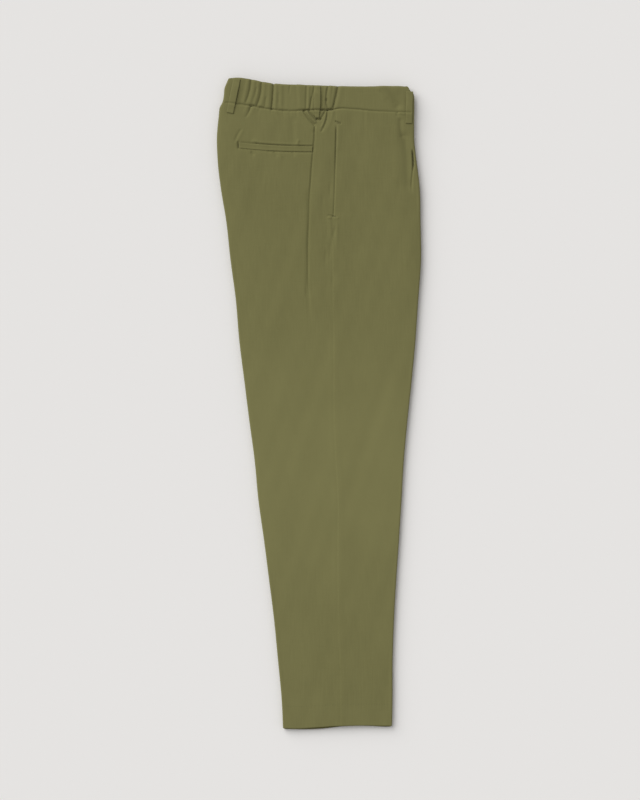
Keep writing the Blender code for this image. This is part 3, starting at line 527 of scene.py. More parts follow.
@dataclass(frozen=True)
class Cloth:
    """The outer face of the folded garment: legs below the waist seam, band above it."""

    tuck: Tuck = Tuck()
    pleat: Pleat = Pleat()
    outseam: Outseam = Outseam()
    leg_folds: tuple[Fold, ...] = SEAT_FOLDS + WELT_FOLDS + LEG_FOLDS + HIP_FOLDS + SEAM_KNOTS
    band_folds: tuple[Fold, ...] = BAND_GATHERS + BAND_PUFFS + BAND_FRONT_FOLDS + SEAM_KNOTS
    seam_reach: float = 0.0015
    hem_dip: float = 0.0003
    hem_reach: float = 0.0007
    top_dip: float = 0.0011
    top_reach: float = 0.0013
    band_wave: float = 0.6     # the doubled, stiffened band waves less than the legs
    edge_blend: float = 0.004  # folds and creases fade out over this towards a folded edge

    def on_top(self, section: Section, x: Array) -> Array:
        """Return 1 on the top face and 0 on the rolls of its edges, with a soft step."""
        inside = np.minimum(x - section.left, section.right - x)
        return smoothstep(0.0, 1.0, (inside - folded_edge(section).inward) / self.edge_blend)

    def seam_dip(self, distance: Array, x: Array) -> Array:
        """Return how far cloth dips at a distance from the waist seam: most where it is gathered."""
        return curve(SEAM_DEPTHS, x) * bell(distance, self.seam_reach)

    def leg(self, height: Array, x: Array, y: Array) -> Array:
        """Work out a leg panel's outer face.

        Args:
            height: The nominal height of each point's row.
            x: Across the garment.
            y: Up the garment.

        Returns:
            z of each point.
        """
        section = section_at(height)
        relief = (fold_height(self.leg_folds, x, y) + self.tuck.height(x, y)
                  + self.outseam.height(section.seam, x, y) + wave_height(x, y)
                  - self.seam_dip(WAIST_SEAM - height, x)
                  - self.hem_dip * bell(height - HEM, self.hem_reach))
        return face_height(section, x) + self.on_top(section, x) * relief + self.pleat.height(x, y)

    def band(self, share: Array, x: Array, y: Array) -> Array:
        """Work out the waistband's outer face.

        Args:
            share: How far up the band each point lies, from its seam (0) to its top (1).
            x: Across the garment.
            y: Up the garment.

        Returns:
            z of each point.
        """
        section = section_at(WAIST_SEAM + share * BAND_HEIGHT)
        relief = (fold_height(self.band_folds, x, y) + self.band_wave * wave_height(x, y)
                  - self.seam_dip(share * BAND_HEIGHT, x)
                  - self.top_dip * bell((1 - share) * BAND_HEIGHT, self.top_reach))
        return face_height(section, x) + self.on_top(section, x) * relief

    def at(self, x: Array, y: Array) -> Array:
        """Find whatever cloth lies at each point of the top face.

        Args:
            x: Across the garment.
            y: Up the garment.

        Returns:
            z of each point.
        """
        x, y = np.broadcast_arrays(np.asarray(x, float), np.asarray(y, float))
        seam_y = curve(WAIST_SEAM_LINE, x)
        height = y.copy()
        for _ in range(4):      # closes in on the row that passes through each point
            height = height + y - row_y(height, x)
        share = np.clip((y - seam_y) / (curve(BAND_TOP_LINE, x) - seam_y), 0.0, 1.0)
        leg = self.leg(np.minimum(height, WAIST_SEAM), x, y)
        return np.where(y < seam_y, leg, self.band(share, x, y))


# ---- Meshes ---------------------------------------------------------------------------------
SIDE_LOOP_X = -0.0035  # the side belt loop's middle in the pattern frame
SHARP_ANGLE = 58.0     # degrees; edges that bend more are shaded sharp


def pattern_shift() -> Array:
    """Return the shift from the pattern frame to the frame of the solids."""
    low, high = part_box("belt_loop_side")
    return np.array([(low[0] + high[0]) / 2 - SIDE_LOOP_X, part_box("folded_layers")[0][1], 0.0])


def normals_of(points: Array, ring: bool = False, level_columns: Sequence[int] = ()) -> Array:
    """Work out unit normals of a grid whose rows run across the garment.

    Args:
        points: The grid's points, rows by columns by 3.
        ring: Whether its columns run all round.
        level_columns: Columns whose normals stay upright in x, at a seam.

    Returns:
        The normals, of the same shape.
    """
    across = np.gradient(points, axis=1)
    if ring:
        across = (np.roll(points, -1, axis=1) - np.roll(points, 1, axis=1)) / 2
    normals = np.cross(across, np.gradient(points, axis=0))
    normals[[0, -1], :, 1] = 0.0
    for column in level_columns:
        normals[:, column, 0] = 0.0
    return normals / np.linalg.norm(normals, axis=2, keepdims=True)


def grid_faces(rows: int, columns: int, offset: int = 0, flip: bool = False,
               ring: bool = False) -> Array:
    """List the quads of a grid of points.

    Args:
        rows: Rows of points.
        columns: Points in a row.
        offset: Number of the grid's first point.
        flip: Whether the quads face the other way.
        ring: Whether the last column joins the first.

    Returns:
        Quads as rows of four corners.
    """
    i, j = np.meshgrid(np.arange(rows - 1), np.arange(columns if ring else columns - 1), indexing="ij")
    k = (j + 1) % columns
    low, high = i * columns, (i + 1) * columns
    quads = np.stack([low + j, low + k, high + k, high + j], -1).reshape(-1, 4) + offset
    return quads[:, ::-1] if flip else quads


def wall_mesh(outer: Array, inner: Array, ring: bool = False) -> Mesh:
    """Close an outer and an inner grid into one wall, or into a tube that is open at both ends.

    Args:
        outer: The face that looks out, rows by columns by 3.
        inner: The face behind it, of the same shape.
        ring: Whether the columns run all round.

    Returns:
        The points and the quads.
    """
    rows, columns = outer.shape[:2]
    offset = rows * columns
    index = np.arange(offset).reshape(rows, columns)
    borders = [index[0, :], index[-1, ::-1]]
    if not ring:
        borders = [np.concatenate([index[0, :], index[1:, -1], index[-1, -2::-1], index[-2:0:-1, 0]])]
    quads = [grid_faces(rows, columns, 0, False, ring), grid_faces(rows, columns, offset, True, ring)]
    for border in borders:
        after = np.roll(border, -1)
        quads.append(np.stack([after, border, border + offset, after + offset], -1))
    return np.concatenate([outer.reshape(-1, 3), inner.reshape(-1, 3)]), np.concatenate(quads)


class Bunch(Enum):
    """Where columns crowd together between two places, and how much of their run is even."""

    EVEN = 1.0
    BOTH = 0.45
    START = 0.35


def shares(count: int, bunch: Bunch = Bunch.EVEN) -> Array:
    """Return count shares from 0 to 1, crowded at the ends that bunch names."""
    even = np.linspace(0.0, 1.0, count)
    crowded = even**2 if bunch is Bunch.START else smoothstep(0.0, 1.0, even)
    return bunch.value * even + (1 - bunch.value) * crowded


def between(start: Array, end: Array, count: int, bunch: Bunch = Bunch.EVEN) -> Array:
    """Return columns of places from start to end, one row for each of their values."""
    return start[:, None] + (end - start)[:, None] * shares(count, bunch)[None, :]


# ---- Finishes -------------------------------------------------------------------------------
def linear(hex_colour: str) -> tuple[float, float, float, float]:
    """Turn an sRGB hex colour into linear red, green, blue and alpha."""
    channels = [int(hex_colour[i:i + 2], 16) / 255 for i in (1, 3, 5)]
    return (*(c / 12.92 if c <= 0.04045 else ((c + 0.055) / 1.055) ** 2.4 for c in channels), 1.0)


def add_node(tree: Tree, kind: str, settings: dict | None = None,
             inputs: dict | None = None) -> bpy.types.Node:
    """Add a node with its settings; an input is a value or another node's output to link.

    Args:
        tree: The material's tree.
        kind: The shader node's kind.
        settings: Properties of the node.
        inputs: Input name or number to value or output socket.

    Returns:
        The node.
    """
    node = tree.nodes.new("ShaderNode" + kind)
    for name, value in (settings or {}).items():
        setattr(node, name, value)
    for name, value in (inputs or {}).items():
        if isinstance(value, Socket):
            tree.links.new(value, node.inputs[name])
        else:
            node.inputs[name].default_value = value
    return node


def bare_material(name: str) -> tuple[Material, Socket]:
    """Start a material with no shader yet.

    Args:
        name: What the real material is.

    Returns:
        The material, and the socket that gives the place on the object.
    """
    material = bpy.data.materials.new(name)
    material.use_nodes = True
    material.node_tree.nodes.clear()
    return material, add_node(material.node_tree, "TexCoord").outputs["Object"]


@dataclass(frozen=True)
class WovenLinen:
    """Washed plain-woven linen: matte, with uneven threads that show as short fine streaks."""

    name: str
    base: str = "#726F46"          # piece-dyed olive
    thick_thread: str = "#7B784D"  # slubs' own paler tone, and painted highlight where they stand up and catch the light
    thin_thread: str = "#69663F"   # thin places' own deeper tone, and painted shade where they sink between threads
    paler_tone: str = "#7B784D"         # washed patches, and the paler band at the knee and the calf
    contrast: float = 0.36         # the ramp's ends stand this far from its middle
    wash_scale: float = 14.0       # washed patches are about 70 mm across
    wash_range: Range = (0.35, 0.70)
    wash_fade: float = 0.30
    knee_y: float = -0.107         # middle of the legs' paler stretch
    knee_reach: float = 0.200
    knee_paling: float = 0.70
    slub_width_mm: float = 1.3     # a real thread is 0.5 mm; drawn coarser so that it shows
    slub_length_mm: float = 26.0
    warp_share: float = 0.42       # how much the slubs along the leg show
    weft_share: float = 0.18       # and those across it
    weave_pitch_mm: float = 1.1    # a real pitch is 0.55 mm; drawn at twice that to show
    weave_depth_mm: float = 0.05
    weave_painted_light: float = 0.13       # painted highlight and shade: threads that lie on top are painted paler, those beneath deeper
    slub_depth_mm: float = 0.10
    nap_scale: float = 900.0       # nap of about 1 mm, coarser than real fibres so that it shows
    slub_bump: float = 0.50
    weave_bump: float = 0.15
    nap_bump: float = 0.25
    roughness: float = 0.92
    specular: float = 0.12         # dry fibres barely shine
    sheen: float = 0.06
    sheen_roughness: float = 0.60

    def make(self) -> Material:
        """Build the material.

        Returns:
            The material.
        """
        material, place = bare_material(self.name)
        tree = material.node_tree
        width, length = MM_PER_METRE / self.slub_width_mm, MM_PER_METRE / self.slub_length_mm
        warp = self.streaks(tree, place, (width, length, width))
        weft = self.streaks(tree, place, (length, width, width))
        weave = self.weave(tree, place)
        tones = [0.5 * (1 - self.warp_share - self.weft_share)]
        # Slubs and the weave's top threads, which also stand up in the bump, are painted paler: painted
        # highlight and shade on the weave, and on the slubs along with their own tone.
        for part, share in ((weft, self.weft_share), (warp, self.warp_share), (weave, self.weave_painted_light)):
            tones.append(add_node(tree, "Math", {"operation": "MULTIPLY_ADD"},
                                  {0: part, 1: share, 2: tones[-1]}).outputs[0])
        threads, woven = tones[-2:]
        tone = add_node(tree, "ValToRGB", {}, {"Fac": woven})
        ramp = tone.color_ramp
        # The ramp's pale end is painted highlight on raised slubs and its deep end painted shade in thin
        # places, besides the threads' own uneven tone.
        for end, side, thread in zip(ramp.elements, (-1, 1), (self.thin_thread, self.thick_thread)):
            end.position, end.color = 0.5 + side * self.contrast, linear(thread)
        ramp.elements.new(0.5).color = linear(self.base)
        colour = add_node(tree, "Mix", {"data_type": "RGBA"},
                          {"Factor": self.paler_share(tree, place), "A": tone.outputs["Color"],
                           "B": linear(self.paler_tone)})
        shader = add_node(tree, "BsdfPrincipled", {},
                          {"Base Color": colour.outputs["Result"], "Roughness": self.roughness,
                           "Metallic": 0.0, "Specular IOR Level": self.specular,
                           "Sheen Weight": self.sheen, "Sheen Roughness": self.sheen_roughness,
                           "Normal": self.relief(tree, place, threads, weave)})
        add_node(tree, "OutputMaterial", {}, {"Surface": shader.outputs["BSDF"]})
        return material

    def paler_share(self, tree: Tree, place: Socket) -> Socket:
        """Add the share of the paler colour: washed patches, and most in a band at the knee and the
        calf.

        Args:
            tree: The material's tree.
            place: The place on the object.

        Returns:
            The share, from 0 to 1.
        """
        wash = add_node(tree, "TexNoise", {"noise_dimensions": "3D"},
                        {"Vector": place, "Scale": self.wash_scale, "Detail": 4.0, "Roughness": 0.55})
        patches = add_node(tree, "MapRange", {},
                           {"Value": wash.outputs["Fac"], "From Min": self.wash_range[0],
                            "From Max": self.wash_range[1], "To Min": 0.0, "To Max": self.wash_fade})
        knee = add_node(tree, "SeparateXYZ", {}, {"Vector": place}).outputs["Y"]
        for operation, amount in (("SUBTRACT", self.knee_y), ("DIVIDE", self.knee_reach), ("POWER", 2.0),
                                  ("MULTIPLY", -1.0), ("EXPONENT", 0.0), ("MULTIPLY", self.knee_paling)):
            step = add_node(tree, "Math", {"operation": operation}, {0: knee, 1: amount})
            knee = step.outputs[0]
        return add_node(tree, "Math", {"operation": "ADD", "use_clamp": True},
                        {0: patches.outputs[0], 1: knee}).outputs[0]

    def streaks(self, tree: Tree, place: Socket, scale: tuple[float, float, float]) -> Socket:
        """Add noise drawn out along the threads of one direction.

        Args:
            tree: The material's tree.
            place: The place on the object.
            scale: Streaks in a metre along x, y and z.

        Returns:
            The noise, from 0 to 1.
        """
        stretched = add_node(tree, "Mapping", {}, {"Vector": place, "Scale": scale})
        noise = add_node(tree, "TexNoise", {"noise_dimensions": "3D"},
                         {"Vector": stretched.outputs[0], "Scale": 1.0, "Detail": 2.0, "Roughness": 0.5})
        return noise.outputs["Fac"]

    def weave(self, tree: Tree, place: Socket) -> Socket:
        """Add the plain weave: threads that pass over and under each other.

        Args:
            tree: The material's tree.
            place: The place on the object.

        Returns:
            The height of the thread on top, from -1 to 1.
        """
        turns = 2 * math.pi * MM_PER_METRE / self.weave_pitch_mm
        split = add_node(tree, "SeparateXYZ", {}, {"Vector": place})
        waves = []
        for axis in ("X", "Y"):
            turn = add_node(tree, "Math", {"operation": "MULTIPLY"},
                            {0: split.outputs[axis], 1: turns})
            waves.append(add_node(tree, "Math", {"operation": "SINE"}, {0: turn.outputs[0]}))
        return add_node(tree, "Math", {"operation": "MULTIPLY"},
                        {i: wave.outputs[0] for i, wave in enumerate(waves)}).outputs[0]

    def relief(self, tree: Tree, place: Socket, threads: Socket, weave: Socket) -> Socket:
        """Add the bump of the slubs, the weave's threads and the fine nap.

        Args:
            tree: The material's tree.
            place: The place on the object.
            threads: The slubs' height.
            weave: The weave's height.

        Returns:
            The bumpy normal.
        """
        nap = add_node(tree, "TexNoise", {"noise_dimensions": "3D"},
                       {"Vector": place, "Scale": self.nap_scale, "Detail": 1.0})
        layers = ((self.slub_bump, self.slub_depth_mm, threads),
                  (self.weave_bump, self.weave_depth_mm, weave),
                  (self.nap_bump, self.weave_depth_mm, nap.outputs["Fac"]))
        below = {}
        for strength, depth_mm, height in layers:
            inputs = {"Strength": strength, "Distance": depth_mm / MM_PER_METRE, "Height": height}
            layer = add_node(tree, "Bump", {}, {**inputs, **below})
            below = {"Normal": layer.outputs[0]}
        return below["Normal"]


@dataclass(frozen=True)
class SewingThread:
    """Spun polyester sewing thread, twisted: a shade deeper than the cloth, faintly glossy."""

    name: str = "spun_polyester_thread"
    colour: str = "#5C5936"
    twist_pitch_mm: float = 6.28  # a real twist is 0.5 mm long; drawn coarser so that it shows
    twist_depth_mm: float = 0.05
    twist_bump: float = 0.4
    twist_waver: float = 0.6
    wave_turns: float = 10.0      # radians of a wave texture in one unit of its scale
    roughness: float = 0.62

    def make(self) -> Material:
        """Build the material.

        Returns:
            The material.
        """
        material, place = bare_material(self.name)
        tree = material.node_tree
        scale = 2 * math.pi * MM_PER_METRE / (self.twist_pitch_mm * self.wave_turns)
        twist = add_node(tree, "TexWave", {"wave_type": "BANDS", "bands_direction": "DIAGONAL"},
                         {"Vector": place, "Scale": scale, "Distortion": self.twist_waver})
        relief = add_node(tree, "Bump", {},
                          {"Strength": self.twist_bump, "Distance": self.twist_depth_mm / MM_PER_METRE,
                           "Height": twist.outputs["Fac"]})
        shader = add_node(tree, "BsdfPrincipled", {},
                          {"Base Color": linear(self.colour), "Roughness": self.roughness,
                           "Metallic": 0.0, "Normal": relief.outputs[0]})
        add_node(tree, "OutputMaterial", {}, {"Surface": shader.outputs["BSDF"]})
        return material


# ---- Pieces ---------------------------------------------------------------------------------
@dataclass
class Workshop:
    """What every sub-assembly needs: the cloth's shape, the finishes and the shift."""

    cloth: Cloth
    linen: Material
    # a darker copy of the linen: painted shade on the pieces that lie under the stack
    inside: Material
    thread: Material
    shift: Array

    def keep(self, name: str, mesh: Mesh, material: Material) -> Item:
        """Make one smooth-shaded piece where the solids are and ride it on the body.

        Args:
            name: The piece's name.
            mesh: Its points in the pattern frame, and its quads.
            material: Its finish.

        Returns:
            The piece.
        """
        points, quads = mesh
        data = bpy.data.meshes.new(name)
        data.from_pydata((points + self.shift).tolist(), [], quads.tolist())
        data.materials.append(material)
        data.shade_smooth()
        data.set_sharp_from_angle(angle=math.radians(SHARP_ANGLE))
        item = bpy.data.objects.new(name, data)
        bpy.context.scene.collection.objects.link(item)
        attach(item, "root")
        log.info("%s: %d faces", name, len(data.polygons))
        return item


class Side(Enum):
    """Which way a piece runs from the outseam."""

    FRONT = 1
    BACK = -1


@dataclass
class TopPiece:
    """A piece of the top half: over the top to its folded edge, round it and on underneath."""

    side: Side
    name: str
    node: str
    wall: float = 0.0009
    roll_steps: int = 12
    under_columns: int = 12

    def crease(self, section: Section) -> Array:
        """Return x where the top face meets the roll of the folded edge."""
        inward = folded_edge(section).inward
        return section.right - inward if self.side is Side.FRONT else section.left + inward

    def round_edge(self, section: Section, run: Array) -> tuple[Array, Array]:
        """Lay columns round the folded edge and on along the under side.

        Args:
            section: The sections, one for each row.
            run: How far the cloth runs back underneath, for each row.

        Returns:
            x and z, rows by columns.
        """
        edge, side = folded_edge(section), self.side.value
        centre_x = (section.right if side > 0 else section.left) - side * section.roll
        turn = np.linspace(0.0, 1.0, self.roll_steps + 1)[None, 1:]
        angle = edge.angle[:, None] + (math.pi - edge.angle[:, None]) * turn
        x = centre_x[:, None] + side * section.roll[:, None] * np.sin(angle)
        z = edge.centre_z[:, None] + section.roll[:, None] * np.cos(angle)
        under_x = between(centre_x, centre_x - side * run, self.under_columns + 1, Bunch.START)[:, 1:]
        under_z = (edge.centre_z - section.roll)[:, None] + 0 * under_x
        return np.concatenate([x, under_x], 1), np.concatenate([z, under_z], 1)

    def y_at(self, section: Section, x: Array) -> Array:
        """Return y of the piece's points at x."""
        raise NotImplementedError

    def sew(self, shop: Workshop, section: Section, face: tuple[Array, Array], run: Array,
            wall: Array) -> tuple[Item, Array]:
        """Make the piece from its top face.

        Args:
            shop: The workshop.
            section: The sections, one for each row.
            face: x and z of the top face, rows by columns.
            run: How far the cloth runs back underneath, for each row.
            wall: The wall's thickness, for each row.

        Returns:
            The piece, and the width it is cut to at each row.
        """
        x, z = (np.concatenate(parts, 1) for parts in zip(face, self.round_edge(section, run)))
        outer = np.stack([x, self.y_at(section, x), z], -1)[:, ::self.side.value]
        seam_column = 0 if self.side is Side.FRONT else -1
        inner = outer - normals_of(outer, level_columns=(seam_column,)) * wall[:, None, None]
        item = shop.keep(self.name, wall_mesh(outer, inner), shop.linen)
        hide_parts(self.node)
        return item, np.abs(face[0][:, 0] - face[0][:, -1]) + math.pi * section.roll + run


def leg_wall(wall: float, hem_wall: float, heights: Array) -> Array:
    """Return a leg's wall thickness at each height: thicker where the hem is turned up."""
    return wall + fade(HEM_ALLOWANCE, HEM_ALLOWANCE + 0.003, heights) * (hem_wall - wall)


@dataclass
class LegPanel(TopPiece):
    """A panel of the top leg, from the outseam over its crease to the inseam."""

    hem_wall: float = 0.0015
    seat_return: float = 0.060            # how far the seat is turned in at the waist
    tuck_columns: int = 29
    crease_inset: float = 0.0070          # fine columns lie this far in from the front crease below
    pleat_rows: Range = (0.8500, 0.8760)  # these rows and follow the pleat above
    slit_inset: float = 0.0014            # the pleat's slit stays this far in
    near_slit: float = 0.020              # columns stand closer within this of it
    at_slit: float = 0.0016               # and closest within this

    def heights(self) -> Array:
        """Space the rows, close together at the hem, the seat and the seam.

        Returns:
            The height of each row.
        """
        hem = HEM + np.array([0.0, 0.0004, 0.0009, 0.0016, 0.0026])
        leg = np.arange(HEM + 0.008, 0.655, 0.0120)
        hip = [np.arange(0.656, 0.812, 0.0045), np.arange(0.8135, 0.828, 0.0010),
               np.arange(0.8300, 0.915, 0.0045)]
        seat = np.arange(0.916, WAIST_SEAM - 0.0044, 0.0012)
        below_seam = np.array([0.0040, 0.0032, 0.0025, 0.0019, 0.0014, 0.0010, 0.0006, 0.0003, 0.0])
        return np.concatenate([hem, leg, *hip, seat, WAIST_SEAM - below_seam - SEAM_GAP / 2])

    def y_at(self, section: Section, x: Array) -> Array:
        """Return y of the panel's points."""
        return row_y(section.height[:, None], x)

    def top_columns(self, section: Section) -> Array:
        """Place the columns on the top face, from the outseam to the crease.

        Args:
            section: The sections, one for each row.

        Returns:
            x, rows by columns: close together at the pleat's slit or at the tuck.
        """
        crease = self.crease(section)
        start = section.seam + self.side.value * SEAM_GAP / 2
        if self.side is Side.FRONT:
            by_crease = crease - self.crease_inset
            slit = np.minimum(curve_up(PLEAT_LINE, section.height), crease - self.slit_inset)
            fine = by_crease + smoothstep(*self.pleat_rows, section.height) * (slit - by_crease)
            parts = [between(start, fine - self.near_slit, 96, Bunch.START),
                     between(fine - self.near_slit, fine - self.at_slit, 18)[:, 1:],
                     between(fine - self.at_slit, crease, 13)[:, 1:]]
        else:
            tuck, half = curve_up(TUCK_LINE, section.height), Tuck.half
            parts = [between(start, tuck + half, 40, Bunch.BOTH),
                     between(tuck + half, tuck - half, self.tuck_columns)[:, 1:],
                     between(tuck - half, crease, 136)[:, 1:]]
        return np.concatenate(parts, 1)

    def lap_over(self, tuck: Tuck, heights: Array, x: Array, z: Array) -> tuple[Array, Array]:
        """Double the back panel's columns back at the tuck, so that the cloth laps over itself.

        Args:
            tuck: The tuck's shape.
            heights: Height of each row.
            x: The top face's columns.
            z: Their heights above the surface.

        Returns:
            x and z with the fold in them.
        """
        across = (x - curve_up(TUCK_LINE, heights)[:, None]) / tuck.half
        inside = np.abs(across) <= 1.0 + 1e-6
        amount = tuck.strength(heights)[:, None] * inside * (1 - np.clip(np.abs(across), 0, 1) ** 4)
        return x + amount * tuck.column_shift(across), z + amount * tuck.fold(across)

    def build(self, shop: Workshop) -> None:
        """Build the panel.

        Args:
            shop: The workshop.
        """
        section = section_at(self.heights())
        x = self.top_columns(section)
        z = shop.cloth.leg(section.height[:, None] + 0 * x, x, self.y_at(section, x))
        if self.side is Side.BACK:
            x, z = self.lap_over(shop.cloth.tuck, section.height, x, z)
        to_inseam = (section.right - section.left) / 2 - section.roll - LAYER_GAP
        run = to_inseam + smoothstep(*CROTCH, section.height) * (self.seat_return - to_inseam)
        wall = leg_wall(self.wall, self.hem_wall, section.height)
        item, widths = self.sew(shop, section, (x, z), run, wall)


@dataclass
class BandPart(TopPiece):
    """A part of the top half of the waistband, from the elastic's end round its folded edge."""

    wall: float = 0.0021
    under_columns: int = 10
    columns: int = 84
    turned_in: float = 0.055
    split: Range = (0.0228, 0.0288)   # x of the elastic's end, at the seam and the top
    notch: float = 0.8          # how much the gathers notch the top edge, as a share of their height
    notch_limits: Range = (-0.0016, 0.0008)

    def rows(self) -> Array:
        """Space the rows, close together at both long edges.

        Returns:
            Each row's share of the band's height.
        """
        low = np.array([0.0, 0.0004, 0.0009, 0.0015, 0.0022, 0.0030]) / BAND_HEIGHT
        high = 1 - np.array([0.0030, 0.0021, 0.0014, 0.0008, 0.0004, 0.0]) / BAND_HEIGHT
        inset = 0.0042 / BAND_HEIGHT
        return np.concatenate([low, np.linspace(inset, 1 - inset, 22), high])

    def y_at(self, section: Section, x: Array) -> Array:
        """Run the rows from the waist seam to the top edge, which the gathers notch.

        Args:
            section: The sections, one for each row.
            x: Across the garment.

        Returns:
            y of each point.
        """
        share = (section.height[:, None] - WAIST_SEAM) / BAND_HEIGHT
        low = curve(WAIST_SEAM_LINE, x) + SEAM_GAP / 2
        high = curve(BAND_TOP_LINE, x)
        notch = self.notch * fold_height(BAND_GATHERS + BAND_PUFFS, x, high)
        return low + share * (high - low + np.clip(notch, *self.notch_limits))

    def build(self, shop: Workshop) -> None:
        """Build this part of the band.

        Args:
            shop: The workshop.
        """
        share = self.rows()
        section = section_at(WAIST_SEAM + share * BAND_HEIGHT)
        start = self.split[0] + share * (self.split[1] - self.split[0]) + self.side.value * SEAM_GAP / 2
        x = between(start, self.crease(section), self.columns)
        z = shop.cloth.band(share[:, None] + 0 * x, x, self.y_at(section, x))
        run = np.full(len(share), self.turned_in)
        item, widths = self.sew(shop, section, (x, z), run, np.full(len(share), self.wall))


def half_turn(middle_x: Array, radius: Array, side: int, steps: int) -> tuple[Array, Array]:
    """Go round a folded edge that lies on the surface: up at the right, down at the left.

    Args:
        middle_x: x of the roll's middle, for each row.
        radius: The roll's radius, for each row.
        side: 1 for a right edge, -1 for a left one.
        steps: Steps in the half turn.

    Returns:
        x and z between its ends, rows by columns.
    """
    turn = np.linspace(0.0, math.pi, steps + 1)[None, 1:-1]
    return (middle_x[:, None] + side * radius[:, None] * np.sin(turn),
            radius[:, None] * (1 - side * np.cos(turn)))


@dataclass
class LeftLeg:
    """The under leg, from its hem to the far half of the waist: a flattened tube."""

    name: str = "left_leg"
    wall: float = 0.0009
    hem_wall: float = 0.0015
    inset: float = 0.0015       # how far it lies in from the top leg's creases
    face_columns: int = 60
    roll_steps: int = 14

    def heights(self) -> Array:
        """Return the heights of the rows."""
        hem = HEM + np.array([0.0, 0.0005, 0.0012, 0.0024])
        leg = np.arange(HEM + 0.008, WAIST_SEAM - 0.004, 0.008)
        return np.concatenate([hem, leg, [WAIST_SEAM - 0.0003]])

    def build(self, shop: Workshop) -> None:
        """Build the leg as one closed tube.

        Args:
            shop: The workshop.
        """
        section = section_at(self.heights())
        left, right = section.left + self.inset, section.right - self.inset
        radius = section.under / 2
        face = between(left + radius, right - radius, self.face_columns)
        right_x, right_z = half_turn(right - radius, radius, 1, self.roll_steps)
        left_x, left_z = half_turn(left + radius, radius, -1, self.roll_steps)
        x = np.concatenate([face, right_x, face[:, ::-1], left_x], 1)
        z = np.concatenate([0 * face, right_z, section.under[:, None] + 0 * face, left_z], 1)
        outer = np.stack([x, row_y(section.height[:, None], x, UNDER_HEM_LINE), z], -1)[:, ::-1]
        wall = leg_wall(self.wall, self.hem_wall, section.height)
        inner = outer - normals_of(outer, ring=True) * wall[:, None, None]
        # the darker copy of the linen is painted shade on the under leg
        item = shop.keep(self.name, wall_mesh(outer, inner, ring=True), shop.inside)
        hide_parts("folded_layers")


@dataclass
class FarWaistband:
    """The far half of the waistband: under the stack, round both creases and turned in."""

    name: str = "far_waistband"
    wall: float = 0.0021
    inset: float = 0.0012
    below_top: float = 0.0012              # its top edge lies this far below the near band's
    turned_in: float = 0.060
    lift: float = 0.0022                   # how far the turned-in ends rise towards their seam
    lift_run: float = 0.030
    face_columns: int = 120
    turned_columns: int = 36
    roll_steps: int = 12
    gather_rise: float = 0.0007
    gather_pitch: float = 0.0135
    gather_sway: float = 1.3               # makes the gathers uneven, in radians
    gather_sway_turns: float = 41.0
    face_gathers: float = 0.5              # the gathers under the stack are pressed to this share
    elastic_end: Range = (0.0130, 0.0230)  # where the gathers fade out

    def gathers(self, x: Array, start: float) -> Array:
        """Return how far the gathered cloth stands up or in along the elastic, always 0 or more."""
        sway = self.gather_sway * np.sin(self.gather_sway_turns * x + start)
        wave = np.sin(2 * math.pi * x / self.gather_pitch + start + sway)
        return self.gather_rise * fade(*self.elastic_end, x) * (0.5 + 0.5 * wave)

    def build(self, shop: Workshop) -> None:
        """Build the far band as one wall.

        Args:
            shop: The workshop.
        """
        share = np.concatenate([[0.0, 0.02, 0.05], np.linspace(0.10, 0.90, 12), [0.95, 0.98, 1.0]])
        section = section_at(WAIST_SEAM + share * BAND_HEIGHT)
        left, right = section.left + self.inset, section.right - self.inset
        radius, high = section.under / 2, section.under[:, None]
        left_middle, right_middle = left + radius, right - radius
        back = between(left_middle + self.turned_in, left_middle, self.turned_columns)
        face = between(left_middle, right_middle, self.face_columns)
        front = between(right_middle, right_middle - self.turned_in, self.turned_columns)
        left_x, left_z = half_turn(left_middle, radius, -1, self.roll_steps)
        right_x, right_z = half_turn(right_middle, radius, 1, self.roll_steps)
        back_rise = self.lift * smoothstep(0.0, self.lift_run, back - back[:, -1:])
        front_rise = self.lift * smoothstep(0.0, self.lift_run, front[:, :1] - front)
        x = np.concatenate([back, left_x, face, right_x, front], 1)
        z = np.concatenate([high + back_rise - self.gathers(back, 0.7), left_z,
                            self.face_gathers * self.gathers(face, 2.1), right_z, high + front_rise], 1)
        low_y = curve(WAIST_SEAM_LINE, x) + SEAM_GAP
        y = low_y + share[:, None] * (curve(BAND_TOP_LINE, x) - self.below_top - low_y)
        outer = np.stack([x, y, z], -1)[:, ::-1]
        mesh = wall_mesh(outer, outer - normals_of(outer) * self.wall)
        # the darker copy of the linen is painted shade on the far band
        item = shop.keep(self.name, mesh, shop.inside)
        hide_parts("folded_layers")


